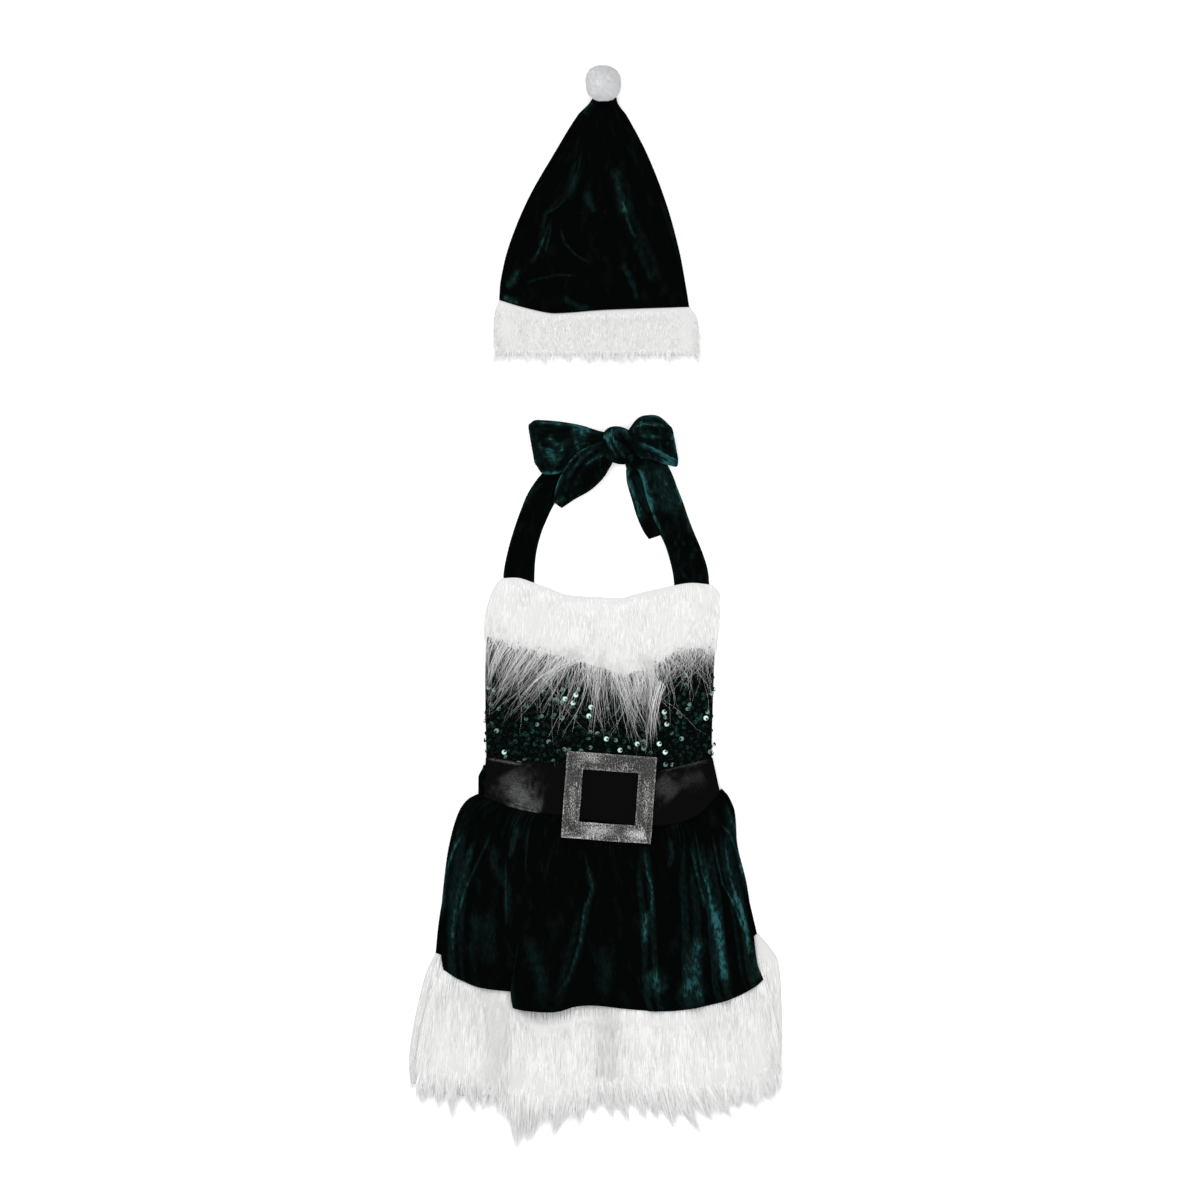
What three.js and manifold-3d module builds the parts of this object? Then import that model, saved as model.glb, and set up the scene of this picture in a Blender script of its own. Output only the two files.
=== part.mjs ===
// A child's halter dress with a long fur hem, a belt and a square buckle, and a pointed hat,
// laid flat on a surface with the tie of the halter in a bow.
// Millimetres. +Z is up from the surface, +Y runs from the hem to the hat, +X is to the right.
// The origin is on the surface, under the middle of the bodice.
import * as THREE from "three";
import { mergeVertices } from "three/addons/utils/BufferGeometryUtils.js";
import Module from "manifold-3d";

const wasm = await Module();
wasm.setup();

// Walls of the cloths, and the gap at seams and between layers
const GAP = 0.3;
const VELVET = 1.5;
const SEQUIN_CLOTH = 1.6;
const TIE = 2;
const LEATHERETTE = 1.3;
const ELASTIC = 3;

// Colours and finishes
const MATERIALS = {
  velvet: new THREE.MeshStandardMaterial({ color: 0x04211f, roughness: 0.7, metalness: 0 }),
  sequin_cloth: new THREE.MeshStandardMaterial({ color: 0x06241d, roughness: 0.4, metalness: 0.1 }),
  fur: new THREE.MeshStandardMaterial({ color: 0xf1f1ee, roughness: 0.9, metalness: 0 }),
  pompom: new THREE.MeshStandardMaterial({ color: 0xe4e6e8, roughness: 0.95, metalness: 0 }),
  leatherette: new THREE.MeshStandardMaterial({ color: 0x0b0b0c, roughness: 0.35, metalness: 0 }),
  foil: new THREE.MeshStandardMaterial({ color: 0x6d6d6b, roughness: 0.35, metalness: 0.7 }),
};

const mix = THREE.MathUtils.lerp;
const smooth = (from, to, at) => {
  const share = THREE.MathUtils.clamp((at - from) / (to - from), 0, 1);
  return share * share * (3 - 2 * share);
};

// A repeatable number from 0 to 1 for the nth of a row of like things.
const chance = (nth) => {
  const long = Math.sin(nth * 127.1 + 3.7) * 43758.5453;
  return long - Math.floor(long);
};

// A smooth curve through a table: column `give` at a value of column `by`.
function curve(rows, by, give) {
  const last = rows.length - 1;
  const slope = (k) => {
    const a = rows[Math.max(k - 1, 0)];
    const b = rows[Math.min(k + 1, last)];
    return (b[give] - a[give]) / (b[by] - a[by]);
  };
  return (at) => {
    if (at <= rows[0][by]) return rows[0][give];
    if (at >= rows[last][by]) return rows[last][give];
    const k = rows.findIndex((row) => row[by] > at) - 1;
    const span = rows[k + 1][by] - rows[k][by];
    const u = (at - rows[k][by]) / span;
    const ease = u * u * (3 - 2 * u);
    const leave = u * (1 - u) * (1 - u) * span * slope(k);
    const arrive = u * u * (u - 1) * span * slope(k + 1);
    return mix(rows[k][give], rows[k + 1][give], ease) + leave + arrive;
  };
}

// The plan of a panel between its top and bottom edges, at s across and t down.
// sides gives how far out it reaches on the left and right at each share of the way down.
function plan(sides, top, bottom) {
  const left = curve(sides, "down", "left");
  const right = curve(sides, "down", "right");
  return (s, t) => {
    const topY = top(mix(left(0), right(0), s));
    const bottomY = bottom(mix(left(1), right(1), s));
    return { x: mix(left(t), right(t), s), y: mix(topY, bottomY, t) };
  };
}

// 0 at a panel's side edges and 1 inside them.
const inside = (s, margin) => smooth(0, margin, s) * smooth(0, margin, 1 - s);

// A closed wall on a sheet: under(s, t) is a point of its lower side, and it is thick(s, t) along
// the sheet's own normal. s runs left to right and t runs down where the wall faces up.
function wall(under, across, along, thick) {
  const step = 1e-3;
  const columns = across + 1;
  const layer = columns * (along + 1);
  const points = [[], []];
  for (let j = 0; j <= along; j++) {
    for (let i = 0; i <= across; i++) {
      const s = i / across;
      const t = j / along;
      const here = under(s, t);
      const alongS = under(Math.min(s + step, 1), t).sub(under(Math.max(s - step, 0), t));
      const alongT = under(s, Math.min(t + step, 1)).sub(under(s, Math.max(t - step, 0)));
      const normal = alongT.cross(alongS).normalize();
      points[0].push(here.x, here.y, here.z);
      here.addScaledVector(normal, thick(s, t));
      points[1].push(here.x, here.y, here.z);
    }
  }
  const index = [];
  for (let j = 0; j < along; j++) {
    for (let i = 0; i < across; i++) {
      const a = j * columns + i;
      const b = a + 1;
      const c = b + columns;
      const d = a + columns;
      index.push(a, b, d, b, c, d);
      index.push(layer + a, layer + d, layer + b, layer + b, layer + d, layer + c);
    }
  }
  const rim = [];
  for (let j = 0; j < along; j++) rim.push(j * columns);
  for (let i = 0; i < across; i++) rim.push(along * columns + i);
  for (let j = along; j > 0; j--) rim.push(j * columns + across);
  for (let i = across; i > 0; i--) rim.push(i);
  rim.forEach((p, k) => {
    const q = rim[(k + 1) % rim.length];
    index.push(p, q, layer + q, p, layer + q, layer + p);
  });
  const geometry = new THREE.BufferGeometry();
  geometry.setAttribute("position", new THREE.Float32BufferAttribute(points.flat(), 3));
  geometry.setIndex(index);
  return geometry;
}

// To and from a solid that can be cut and joined
function solidOf(geometry) {
  const bare = geometry.clone();
  bare.deleteAttribute("normal");
  bare.deleteAttribute("uv");
  const merged = mergeVertices(bare, 1e-3);
  const vertProperties = merged.attributes.position.array;
  const triVerts = new Uint32Array(merged.index.array);
  return new wasm.Manifold(new wasm.Mesh({ numProp: 3, vertProperties, triVerts }));
}

function geometryOf(solid) {
  const mesh = solid.getMesh();
  const geometry = new THREE.BufferGeometry();
  geometry.setAttribute("position", new THREE.Float32BufferAttribute(mesh.vertProperties, 3));
  geometry.setIndex(Array.from(mesh.triVerts));
  return geometry;
}

const minus = (geometry, cutter) => geometryOf(solidOf(geometry).subtract(solidOf(cutter)));
const joined = (geometries) =>
  geometryOf(geometries.map(solidOf).reduce((whole, next) => whole.add(next)));

const dress = new THREE.Group();
const bow = new THREE.Group();
const hat = new THREE.Group();

function add(group, name, geometry, material) {
  const mesh = new THREE.Mesh(geometry, MATERIALS[material]);
  mesh.name = name;
  group.add(mesh);
  return mesh;
}

// The seam at the waist, where the front of the skirt is gathered to the bodice under the belt
const WAIST_SEAM = [
  { x: -141, y: -122 },
  { x: -94, y: -138 },
  { x: -46, y: -145 },
  { x: 0, y: -151 },
  { x: 65, y: -156 },
  { x: 99, y: -152 },
  { x: 121, y: -142 },
  { x: 146, y: -118 },
];
const waistSeam = curve(WAIST_SEAM, "x", "y");

// Back waistband: a casing shirred on elastic, flat where it rests
const BAND = { left: -146, right: 140, top: -90, bottom: -128, ribs: 16, ribDeep: 0.8 };

function backWaistband() {
  const rib = (s) => 0.5 - 0.5 * Math.cos(2 * Math.PI * BAND.ribs * s);
  const under = (s, t) => {
    const hollow = BAND.ribDeep * smooth(0.6, 1, rib(s));
    return new THREE.Vector3(mix(BAND.left, BAND.right, s), mix(BAND.top, BAND.bottom, t), hollow);
  };
  const thick = (s) => ELASTIC - 2 * BAND.ribDeep * smooth(0.6, 1, rib(s)) - 0.4 * rib(s);
  return wall(under, 3 * BAND.ribs, 2, thick);
}

// Back of the skirt: it rests on the surface between its gathers and folds
const BACK_SIDES = [
  { down: 0, left: -141, right: 136 },
  { down: 0.05, left: -151, right: 147 },
  { down: 0.12, left: -163, right: 155 },
  { down: 0.3, left: -176, right: 160 },
  { down: 0.5, left: -184, right: 170 },
  { down: 0.75, left: -193, right: 180 },
  { down: 1, left: -198, right: 190 },
];
const BACK_HEM = [
  { x: -198, y: -323 },
  { x: -150, y: -340 },
  { x: -80, y: -350 },
  { x: 0, y: -352 },
  { x: 80, y: -348 },
  { x: 150, y: -330 },
  { x: 190, y: -299 },
];
// Folds: where each starts at the waist and ends at the hem, across the panel, its half widths,
// its height and how far down it begins
const BACK_FOLDS = [
  { waist: 0.16, hem: 0.13, left: 0.05, right: 0.05, high: 3, start: 0.15 },
  { waist: 0.34, hem: 0.31, left: 0.06, right: 0.04, high: 3.4, start: 0.25 },
  { waist: 0.55, hem: 0.54, left: 0.04, right: 0.05, high: 2.8, start: 0.1 },
  { waist: 0.7, hem: 0.74, left: 0.04, right: 0.06, high: 3.4, start: 0.3 },
  { waist: 0.86, hem: 0.9, left: 0.04, right: 0.04, high: 2.6, start: 0.2 },
];
const BACK_GATHER = { count: 14, high: 2.2, reach: 0.3 };
const BACK_FLAT = { from: 0.55, to: 0.8 };
const FOLD_GROWS = 0.35;
const backHem = curve(BACK_HEM, "x", "y");
const backPlan = plan(BACK_SIDES, () => BAND.bottom - 2.5 * GAP, backHem);

function foldHeight(folds, s, t) {
  return folds.reduce((height, fold) => {
    const off = s - mix(fold.waist, fold.hem, t);
    const share = off / (off < 0 ? fold.left : fold.right);
    if (Math.abs(share) >= 1) return height;
    const grown = smooth(fold.start, fold.start + FOLD_GROWS, t);
    return height + fold.high * grown * (0.5 + 0.5 * Math.cos(Math.PI * share));
  }, 0);
}

// Gathers are uneven: their spacing wanders, and each one runs down a different way.
const GATHER_REACH = { least: 0.6, more: 0.8 };
const wander = (u) => u + u * (1 - u) * (0.03 * Math.sin(17 * u) + 0.02 * Math.sin(41 * u + 1));
function gatherHeight(gather, u, t) {
  const wave = 0.5 - 0.5 * Math.cos(2 * Math.PI * gather.count * u);
  const luck = chance(Math.floor(gather.count * u) + gather.count);
  const reach = gather.reach * (GATHER_REACH.least + GATHER_REACH.more * luck);
  return gather.high * wave * Math.exp(-((t / reach) ** 2));
}

// Rows of points crowd to the top of a panel, where its form changes most.
const CROWDED = 1.4;
const BACK_MARGIN = 0.08;

function backSkirt() {
  const rows = 7;
  const under = (u, v) => {
    const s = wander(u);
    const t = v ** CROWDED;
    const { x, y } = backPlan(s, t);
    const flatHem = 1 - smooth(BACK_FLAT.from, BACK_FLAT.to, t);
    const folds = foldHeight(BACK_FOLDS, s, t) * flatHem;
    const z = (folds + gatherHeight(BACK_GATHER, u, t)) * inside(s, BACK_MARGIN);
    return new THREE.Vector3(x, y, z);
  };
  return wall(under, 3 * BACK_GATHER.count, rows, () => VELVET);
}

// Front of the skirt
const FRONT_SIDES = [
  { down: 0, left: -141, right: 146 },
  { down: 0.04, left: -158, right: 154 },
  { down: 0.12, left: -170, right: 161.5 },
  { down: 0.3, left: -181, right: 165 },
  { down: 0.5, left: -187, right: 176 },
  { down: 0.75, left: -191.5, right: 184 },
  { down: 0.92, left: -190.5, right: 189 },
  { down: 1, left: -188, right: 196 },
];
const FRONT_HEM = [
  { x: -188, y: -335 },
  { x: -168, y: -347 },
  { x: -149, y: -355 },
  { x: -122, y: -361 },
  { x: -108, y: -363 },
  { x: -84, y: -378 },
  { x: -68, y: -384 },
  { x: -50, y: -385 },
  { x: -30, y: -379 },
  { x: -5, y: -378 },
  { x: 30, y: -382 },
  { x: 80, y: -385 },
  { x: 120, y: -380 },
  { x: 160, y: -369 },
  { x: 187, y: -355 },
  { x: 196, y: -347 },
];
const FRONT_FOLDS = [
  { waist: 0.06, hem: 0.045, left: 0.03, right: 0.03, high: 3.5, start: 0.02 },
  { waist: 0.13, hem: 0.13, left: 0.05, right: 0.05, high: 4.5, start: 0.3 },
  { waist: 0.53, hem: 0.325, left: 0.08, right: 0.06, high: 6.5, start: 0.25 },
  { waist: 0.68, hem: 0.665, left: 0.03, right: 0.03, high: 5, start: 0.06 },
  { waist: 0.84, hem: 0.79, left: 0.035, right: 0.035, high: 6, start: 0.08 },
  { waist: 0.9, hem: 0.88, left: 0.025, right: 0.03, high: 7.5, start: 0.02 },
  { waist: 0.955, hem: 0.965, left: 0.02, right: 0.025, high: 5, start: 0.02 },
];
const FRONT_GATHER = { count: 20, high: 2, reach: 0.26 };
// How high the front lies, at its side edges and inside them
const FRONT_LEVELS = [
  { down: 0, edge: 3.6, inside: 5 },
  { down: 0.14, edge: 2.2, inside: 6.2 },
  { down: 0.35, edge: 1.9, inside: 7 },
  { down: 0.62, edge: 1.9, inside: 7.6 },
  { down: 0.78, edge: 5.8, inside: 9.4 },
  { down: 1, edge: 5.8, inside: 10.6 },
];
// The big fold at the hem: the cloth doubles back under itself, and what is right of it lies on top.
const DOUBLED = { at: 0.249, half: 0.04, push: 24, high: 10, start: 0.5 };
const DOUBLED_RISE = { from: -1.6, to: 1.6 };
const DOUBLED_FALL = { from: 3, to: 9 };
const FRONT_MARGIN = 0.06;
const frontHem = curve(FRONT_HEM, "x", "y");
const frontPlan = plan(FRONT_SIDES, waistSeam, frontHem);
const frontEdgeLevel = curve(FRONT_LEVELS, "down", "edge");
const frontInsideLevel = curve(FRONT_LEVELS, "down", "inside");

const doubledAt = (s) => (s - DOUBLED.at) / DOUBLED.half;
const doubledLift = (q) =>
  smooth(DOUBLED_RISE.from, DOUBLED_RISE.to, q) * (1 - smooth(DOUBLED_FALL.from, DOUBLED_FALL.to, q));

function frontPoint(u, t) {
  const s = wander(u);
  const { x, y } = frontPlan(s, t);
  const q = doubledAt(s);
  const grown = smooth(DOUBLED.start, 1, t);
  const push = -DOUBLED.push * grown * q * Math.exp(0.5 - (q * q) / 2);
  const level = mix(frontEdgeLevel(t), frontInsideLevel(t), inside(s, FRONT_MARGIN));
  const folds = foldHeight(FRONT_FOLDS, s, t) + gatherHeight(FRONT_GATHER, u, t);
  const z = level + folds * inside(s, FRONT_MARGIN) + DOUBLED.high * grown * doubledLift(q);
  return new THREE.Vector3(x + push, y, z);
}

function frontSkirt() {
  const rows = 8;
  return wall((u, v) => frontPoint(u, v ** CROWDED), 4 * FRONT_GATHER.count, rows, () => VELVET);
}

// Long fur at the hem, back and front. Its top edge is tucked behind the velvet's hem.
const BACK_FUR_SIDES = [
  { down: 0, left: -197, right: 189 },
  { down: 0.06, left: -202, right: 199 },
  { down: 0.18, left: -210, right: 213 },
  { down: 0.5, left: -222, right: 218 },
  { down: 0.8, left: -229, right: 218 },
  { down: 1, left: -228, right: 215 },
];
const BACK_FUR_LOW = [
  { x: -228, y: -468 },
  { x: -180, y: -482 },
  { x: -100, y: -488 },
  { x: 0, y: -484 },
  { x: 100, y: -482 },
  { x: 180, y: -480 },
  { x: 215, y: -466 },
];
const BACK_FUR_DEEP = [
  { down: 0, deep: 1.5 },
  { down: 0.1, deep: 1.8 },
  { down: 0.25, deep: 5 },
  { down: 0.5, deep: 6.2 },
  { down: 0.8, deep: 5 },
  { down: 1, deep: 2.2 },
];
const FUR_TUCK = { back: 8, front: 10 };
const TUFT = { count: 18, long: 9 };

// How far the tufts of a ragged fur edge hang below it, at u across
const SHORTEST_TUFT = 0.35;
function tuft(count, long, u) {
  const nth = Math.floor(count * u);
  const point = 1 - Math.abs(2 * (count * u - nth) - 1);
  return point * long * mix(SHORTEST_TUFT, 1, chance(nth + 11));
}

// How thin the back fur is at its sides, where its upper side comes down and where its tufts start
const BACK_FUR_EDGE = { thick: 2.6, margin: 0.14, sinksFrom: 0.08, sinksTo: 0.2, tuftsFrom: 0.8 };
const BACK_FUR_CROWDED = 1.6;

function backFur() {
  const low = curve(BACK_FUR_LOW, "x", "y");
  const deep = curve(BACK_FUR_DEEP, "down", "deep");
  const at = plan(BACK_FUR_SIDES, (x) => backHem(x) + FUR_TUCK.back, low);
  const under = (s, t) => {
    const { x, y } = at(s, t);
    const hang = tuft(TUFT.count, TUFT.long, s) * smooth(BACK_FUR_EDGE.tuftsFrom, 1, t);
    const overCloth = 1 - smooth(BACK_FUR_EDGE.sinksFrom, BACK_FUR_EDGE.sinksTo, t);
    return new THREE.Vector3(x, y - hang, (VELVET + GAP) * overCloth);
  };
  const thick = (s, t) =>
    Math.min(deep(t), mix(BACK_FUR_EDGE.thick, deep(t), inside(s, BACK_FUR_EDGE.margin)));
  const row = (v) => v ** BACK_FUR_CROWDED;
  return wall((s, v) => under(s, row(v)), 2 * TUFT.count, 5, (s, v) => thick(s, row(v)));
}

const FRONT_FUR_SIDES = [
  { down: 0, left: -187, right: 193 },
  { down: 0.12, left: -193, right: 199 },
  { down: 0.4, left: -209, right: 210 },
  { down: 0.75, left: -219, right: 214 },
  { down: 1, left: -221, right: 212 },
];
const FRONT_FUR_LOW = [
  { x: -221, y: -462 },
  { x: -190, y: -474 },
  { x: -150, y: -478 },
  { x: -110, y: -496 },
  { x: -78, y: -504 },
  { x: -40, y: -497 },
  { x: 10, y: -484 },
  { x: 70, y: -490 },
  { x: 130, y: -489 },
  { x: 180, y: -480 },
  { x: 212, y: -466 },
];
const FRONT_FUR_DEEP = [
  { down: 0, deep: 1.8, level: 7 },
  { down: 0.08, deep: 2.2, level: 7 },
  { down: 0.22, deep: 7, level: 7 },
  { down: 0.5, deep: 9.5, level: 7 },
  { down: 0.8, deep: 7.5, level: 6 },
  { down: 1, deep: 3, level: 3.4 },
];
const FUR_EDGE_LEVEL = 3.6;
const frontFurLow = curve(FRONT_FUR_LOW, "x", "y");

// How thin the front fur is at its sides, and how much of the skirt's folds runs on into it
const FRONT_FUR_EDGE = { thick: 1.8, margin: 0.06, levelMargin: 0.07 };
const FOLDS_IN_FUR = { share: 0.7, from: 0.1, to: 0.22, atTop: 0.8, atLow: 0.25 };

function frontFur() {
  const deep = curve(FRONT_FUR_DEEP, "down", "deep");
  const level = curve(FRONT_FUR_DEEP, "down", "level");
  const at = plan(FRONT_FUR_SIDES, (x) => frontHem(x) + FUR_TUCK.front, frontFurLow);
  const under = (s, t) => {
    const { x, y } = at(s, t);
    return new THREE.Vector3(x, y, mix(FUR_EDGE_LEVEL, level(t), inside(s, FRONT_FUR_EDGE.levelMargin)));
  };
  const thick = (s, t) => {
    const { share, from, to, atTop, atLow } = FOLDS_IN_FUR;
    const past = share * smooth(from, to, t) * mix(atTop, atLow, t);
    const folds = foldHeight(FRONT_FOLDS, s, 1) + DOUBLED.high * doubledLift(doubledAt(s));
    const within = inside(s, FRONT_FUR_EDGE.margin);
    return Math.min(deep(t), mix(FRONT_FUR_EDGE.thick, deep(t), within)) + past * folds * within;
  };
  const row = (v) => v ** CROWDED;
  return wall((s, v) => under(s, row(v)), 40, 6, (s, v) => thick(s, row(v)));
}

// A lock of fur: a three-sided taper from a root to a point, bowed up in the middle
const LOCK_RINGS = [
  { along: 0, share: 1 },
  { along: 0.55, share: 0.7 },
];
const LOCK_HIGH = 0.6;
function lock(root, tip, width, lift) {
  const out = tip.clone().sub(root).normalize();
  const side = new THREE.Vector3(-out.y, out.x, 0).normalize();
  const positions = [];
  for (const { along, share } of LOCK_RINGS) {
    const middle = root.clone().lerp(tip, along);
    middle.z += lift * Math.sin(Math.PI * along);
    const half = (width * share) / 2;
    positions.push(...middle.clone().addScaledVector(side, -half).toArray());
    positions.push(...middle.clone().addScaledVector(side, half).toArray());
    positions.push(...middle.clone().add(new THREE.Vector3(0, 0, LOCK_HIGH * half)).toArray());
  }
  positions.push(...tip.toArray());
  const index = [0, 2, 1];
  for (let ring = 0; ring < LOCK_RINGS.length - 1; ring++) {
    for (let k = 0; k < 3; k++) {
      const a = 3 * ring + k;
      const b = 3 * ring + ((k + 1) % 3);
      index.push(a, b, b + 3, a, b + 3, a + 3);
    }
  }
  const end = 3 * LOCK_RINGS.length;
  for (let k = 0; k < 3; k++) index.push(end - 3 + k, end - 3 + ((k + 1) % 3), end);
  const geometry = new THREE.BufferGeometry();
  geometry.setAttribute("position", new THREE.Float32BufferAttribute(positions, 3));
  geometry.setIndex(index);
  return geometry;
}

// The strip that a row of locks grows from, just past the edge of a fur panel
const STRIP_GAP = 1;
function lockStrip(edge, left, right, level, size) {
  const under = (s, t) => {
    const x = mix(left, right, s);
    return new THREE.Vector3(x, edge(x) - STRIP_GAP - size.wide * t, level);
  };
  return wall(under, 24, 1, () => size.thick);
}

const HEM_STRIP = { wide: 5, thick: 1.8, level: 3.5, left: -219, right: 210 };
const HEM_TIPS = [
  { x: -222, y: -499 },
  { x: -190, y: -518 },
  { x: -144, y: -508 },
  { x: -118, y: -522 },
  { x: -92, y: -552 },
  { x: -50, y: -541 },
  { x: 0, y: -514 },
  { x: 40, y: -521 },
  { x: 90, y: -528 },
  { x: 130, y: -525 },
  { x: 170, y: -508 },
  { x: 213, y: -494 },
];
const HEM_LOCKS = { count: 38, width: 7, lift: 0.8, tipLevel: 1.2, shorter: 13, lean: 7, margin: 4 };
// How high above the strip's under side the locks start, at the least and how much more
const HEM_ROOTS = { least: 0.35, more: 0.4 };

function hemLocks() {
  const tips = curve(HEM_TIPS, "x", "y");
  const pieces = [lockStrip(frontFurLow, HEM_STRIP.left, HEM_STRIP.right, HEM_STRIP.level, HEM_STRIP)];
  for (let n = 0; n < HEM_LOCKS.count; n++) {
    const share = (n + 0.5) / HEM_LOCKS.count;
    const x = mix(HEM_STRIP.left + HEM_LOCKS.margin, HEM_STRIP.right - HEM_LOCKS.margin, share);
    const reach = tips(x) + HEM_LOCKS.shorter * chance(n);
    const lean = HEM_LOCKS.lean * (2 * chance(n + 60) - 1);
    const level = HEM_STRIP.level + HEM_ROOTS.least + HEM_ROOTS.more * chance(n + 30);
    const root = new THREE.Vector3(x, frontFurLow(x) - STRIP_GAP - 0.5 * HEM_STRIP.wide, level);
    const tip = new THREE.Vector3(x + lean, reach, HEM_LOCKS.tipLevel);
    pieces.push(lock(root, tip, HEM_LOCKS.width, HEM_LOCKS.lift));
  }
  return joined(pieces);
}

// Bodice: one front panel, open at the back above the waistband
const BIB_TOP = [
  { x: -119, y: 134 },
  { x: -98, y: 134.5 },
  { x: -79, y: 128.5 },
  { x: -60, y: 122 },
  { x: -41, y: 114.5 },
  { x: 0, y: 111.5 },
  { x: 26, y: 110.5 },
  { x: 46, y: 116 },
  { x: 86, y: 125 },
  { x: 110, y: 128.5 },
  { x: 136, y: 126 },
];
const BODICE_SIDES = [
  { down: 0, left: -117, right: 134 },
  { down: 0.1, left: -127, right: 140 },
  { down: 0.3, left: -136.5, right: 139 },
  { down: 0.6, left: -137.5, right: 135 },
  { down: 0.8, left: -136.5, right: 134 },
  { down: 1, left: -137, right: 136 },
];
const BODICE_BELOW_FUR = 8;
const BAND_CLEAR = 3.6;
const bibTop = curve(BIB_TOP, "x", "y");
const bodiceTop = (x) => bibTop(x) - BODICE_BELOW_FUR;
const bodiceLevel = (y) => BAND_CLEAR * smooth(-46, -70, y);

function bodice() {
  const at = plan(BODICE_SIDES, bodiceTop, (x) => waistSeam(x) + 2.5 * GAP);
  const under = (s, t) => {
    const { x, y } = at(s, t);
    return new THREE.Vector3(x, y, bodiceLevel(y));
  };
  return wall(under, 14, 12, () => SEQUIN_CLOTH);
}

// Fur on the bodice, and the long locks that fall from it over the sequins
const BIB_FUR_SIDES = [
  { down: 0, left: -118, right: 135 },
  { down: 0.12, left: -125.5, right: 143 },
  { down: 0.35, left: -132.5, right: 143.5 },
  { down: 0.65, left: -138, right: 140 },
  { down: 1, left: -139.5, right: 137 },
];
const BIB_FUR_LOW = [
  { x: -139, y: 65 },
  { x: -115, y: 58 },
  { x: -88, y: 50 },
  { x: -52, y: 42 },
  { x: -12, y: 31 },
  { x: 30, y: 20 },
  { x: 50, y: 23 },
  { x: 71, y: 33 },
  { x: 88, y: 45 },
  { x: 112, y: 50 },
  { x: 137, y: 48 },
];
const BIB_FUR_DEEP = [
  { down: 0, deep: 4 },
  { down: 0.1, deep: 8 },
  { down: 0.4, deep: 10.5 },
  { down: 0.75, deep: 8 },
  { down: 1, deep: 3 },
];
const BIB_STRIP = { wide: 5, thick: 1.6, left: -136, right: 134 };
const BIB_LOCKS = [
  { from: -134, to: -88, count: 6, long: 66, lean: -18 },
  { from: -84, to: -22, count: 7, long: 62, lean: -46 },
  { from: -18, to: 34, count: 6, long: 62, lean: 5 },
  { from: 38, to: 74, count: 6, long: 86, lean: 9 },
  { from: 80, to: 130, count: 6, long: 40, lean: 4 },
];
const BIB_LOCK = { width: 6, lift: 1, shortest: 0.78, tipAbove: 0.7, rootLeast: 0.3, rootMore: 0.5 };
const BIB_FUR_EDGE = { thick: 2.5, margin: 0.08, sinksFrom: 0.2, sinksTo: 0.35 };
const bibFurLow = curve(BIB_FUR_LOW, "x", "y");
const bibLevel = SEQUIN_CLOTH + GAP;

function bibFur() {
  const deep = curve(BIB_FUR_DEEP, "down", "deep");
  const at = plan(BIB_FUR_SIDES, bibTop, bibFurLow);
  const under = (s, t) => {
    const { x, y } = at(s, t);
    const onTies = 1 - smooth(BIB_FUR_EDGE.sinksFrom, BIB_FUR_EDGE.sinksTo, t);
    const overTies = (TIE + GAP - bibLevel) * onTies;
    return new THREE.Vector3(x, y, bibLevel + overTies);
  };
  const thick = (s, t) => mix(BIB_FUR_EDGE.thick, deep(t), inside(s, BIB_FUR_EDGE.margin));
  return wall(under, 30, 5, thick);
}

function bibLocks() {
  const pieces = [lockStrip(bibFurLow, BIB_STRIP.left, BIB_STRIP.right, bibLevel, BIB_STRIP)];
  for (const { from, to, count, long, lean } of BIB_LOCKS) {
    for (let n = 0; n < count; n++) {
      const x = mix(from, to, (n + 0.5) / count);
      const y = bibFurLow(x) - STRIP_GAP - 0.5 * BIB_STRIP.wide;
      const rootAbove = BIB_LOCK.rootLeast + BIB_LOCK.rootMore * chance(n + long);
      const root = new THREE.Vector3(x, y, bibLevel + rootAbove);
      const tipY = y - long * mix(BIB_LOCK.shortest, 1, chance(n + from));
      const tipX = Math.max(x + lean, BIB_STRIP.left);
      const tip = new THREE.Vector3(tipX, tipY, bibLevel + bodiceLevel(tipY) + BIB_LOCK.tipAbove);
      pieces.push(lock(root, tip, BIB_LOCK.width, BIB_LOCK.lift));
    }
  }
  return joined(pieces);
}

// Belt across the front, and the square buckle that lies on it
const BELT_SIDES = [
  { down: 0, left: -137, right: 135 },
  { down: 1, left: -139.5, right: 144 },
];
const BELT_TOP = [
  { x: -137, y: -81 },
  { x: -42, y: -89.5 },
  { x: 20, y: -96 },
  { x: 67, y: -97 },
  { x: 100, y: -90 },
  { x: 135, y: -81 },
];
const BELT_BOTTOM = [
  { x: -139.5, y: -128.5 },
  { x: -94, y: -144 },
  { x: -46, y: -150.5 },
  { x: 0, y: -158 },
  { x: 65, y: -163 },
  { x: 99, y: -158 },
  { x: 121, y: -147 },
  { x: 144, y: -122.5 },
];
const BELT_LEAN = 0.05; // the belt and buckle rise this much for each millimetre down the dress
const BELT_MIDDLE = { x: 10.7, y: -128.7, level: 8.7 };
const BELT_EDGE_LEVEL = 7.3;
const BELT_MARGIN = 0.04;
const beltLevel = (y) => BELT_MIDDLE.level + BELT_LEAN * (BELT_MIDDLE.y - y);
const beltPlan = plan(BELT_SIDES, curve(BELT_TOP, "x", "y"), curve(BELT_BOTTOM, "x", "y"));

function belt() {
  const under = (s, t) => {
    const { x, y } = beltPlan(s, t);
    return new THREE.Vector3(x, y, mix(BELT_EDGE_LEVEL, beltLevel(y), inside(s, BELT_MARGIN)));
  };
  return wall(under, 28, 3, () => LEATHERETTE);
}

const BUCKLE = { wide: 108, tall: 104, bar: 20.5, thick: 3, corner: 1.5, turn: -0.073, clear: 0.5 };

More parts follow.
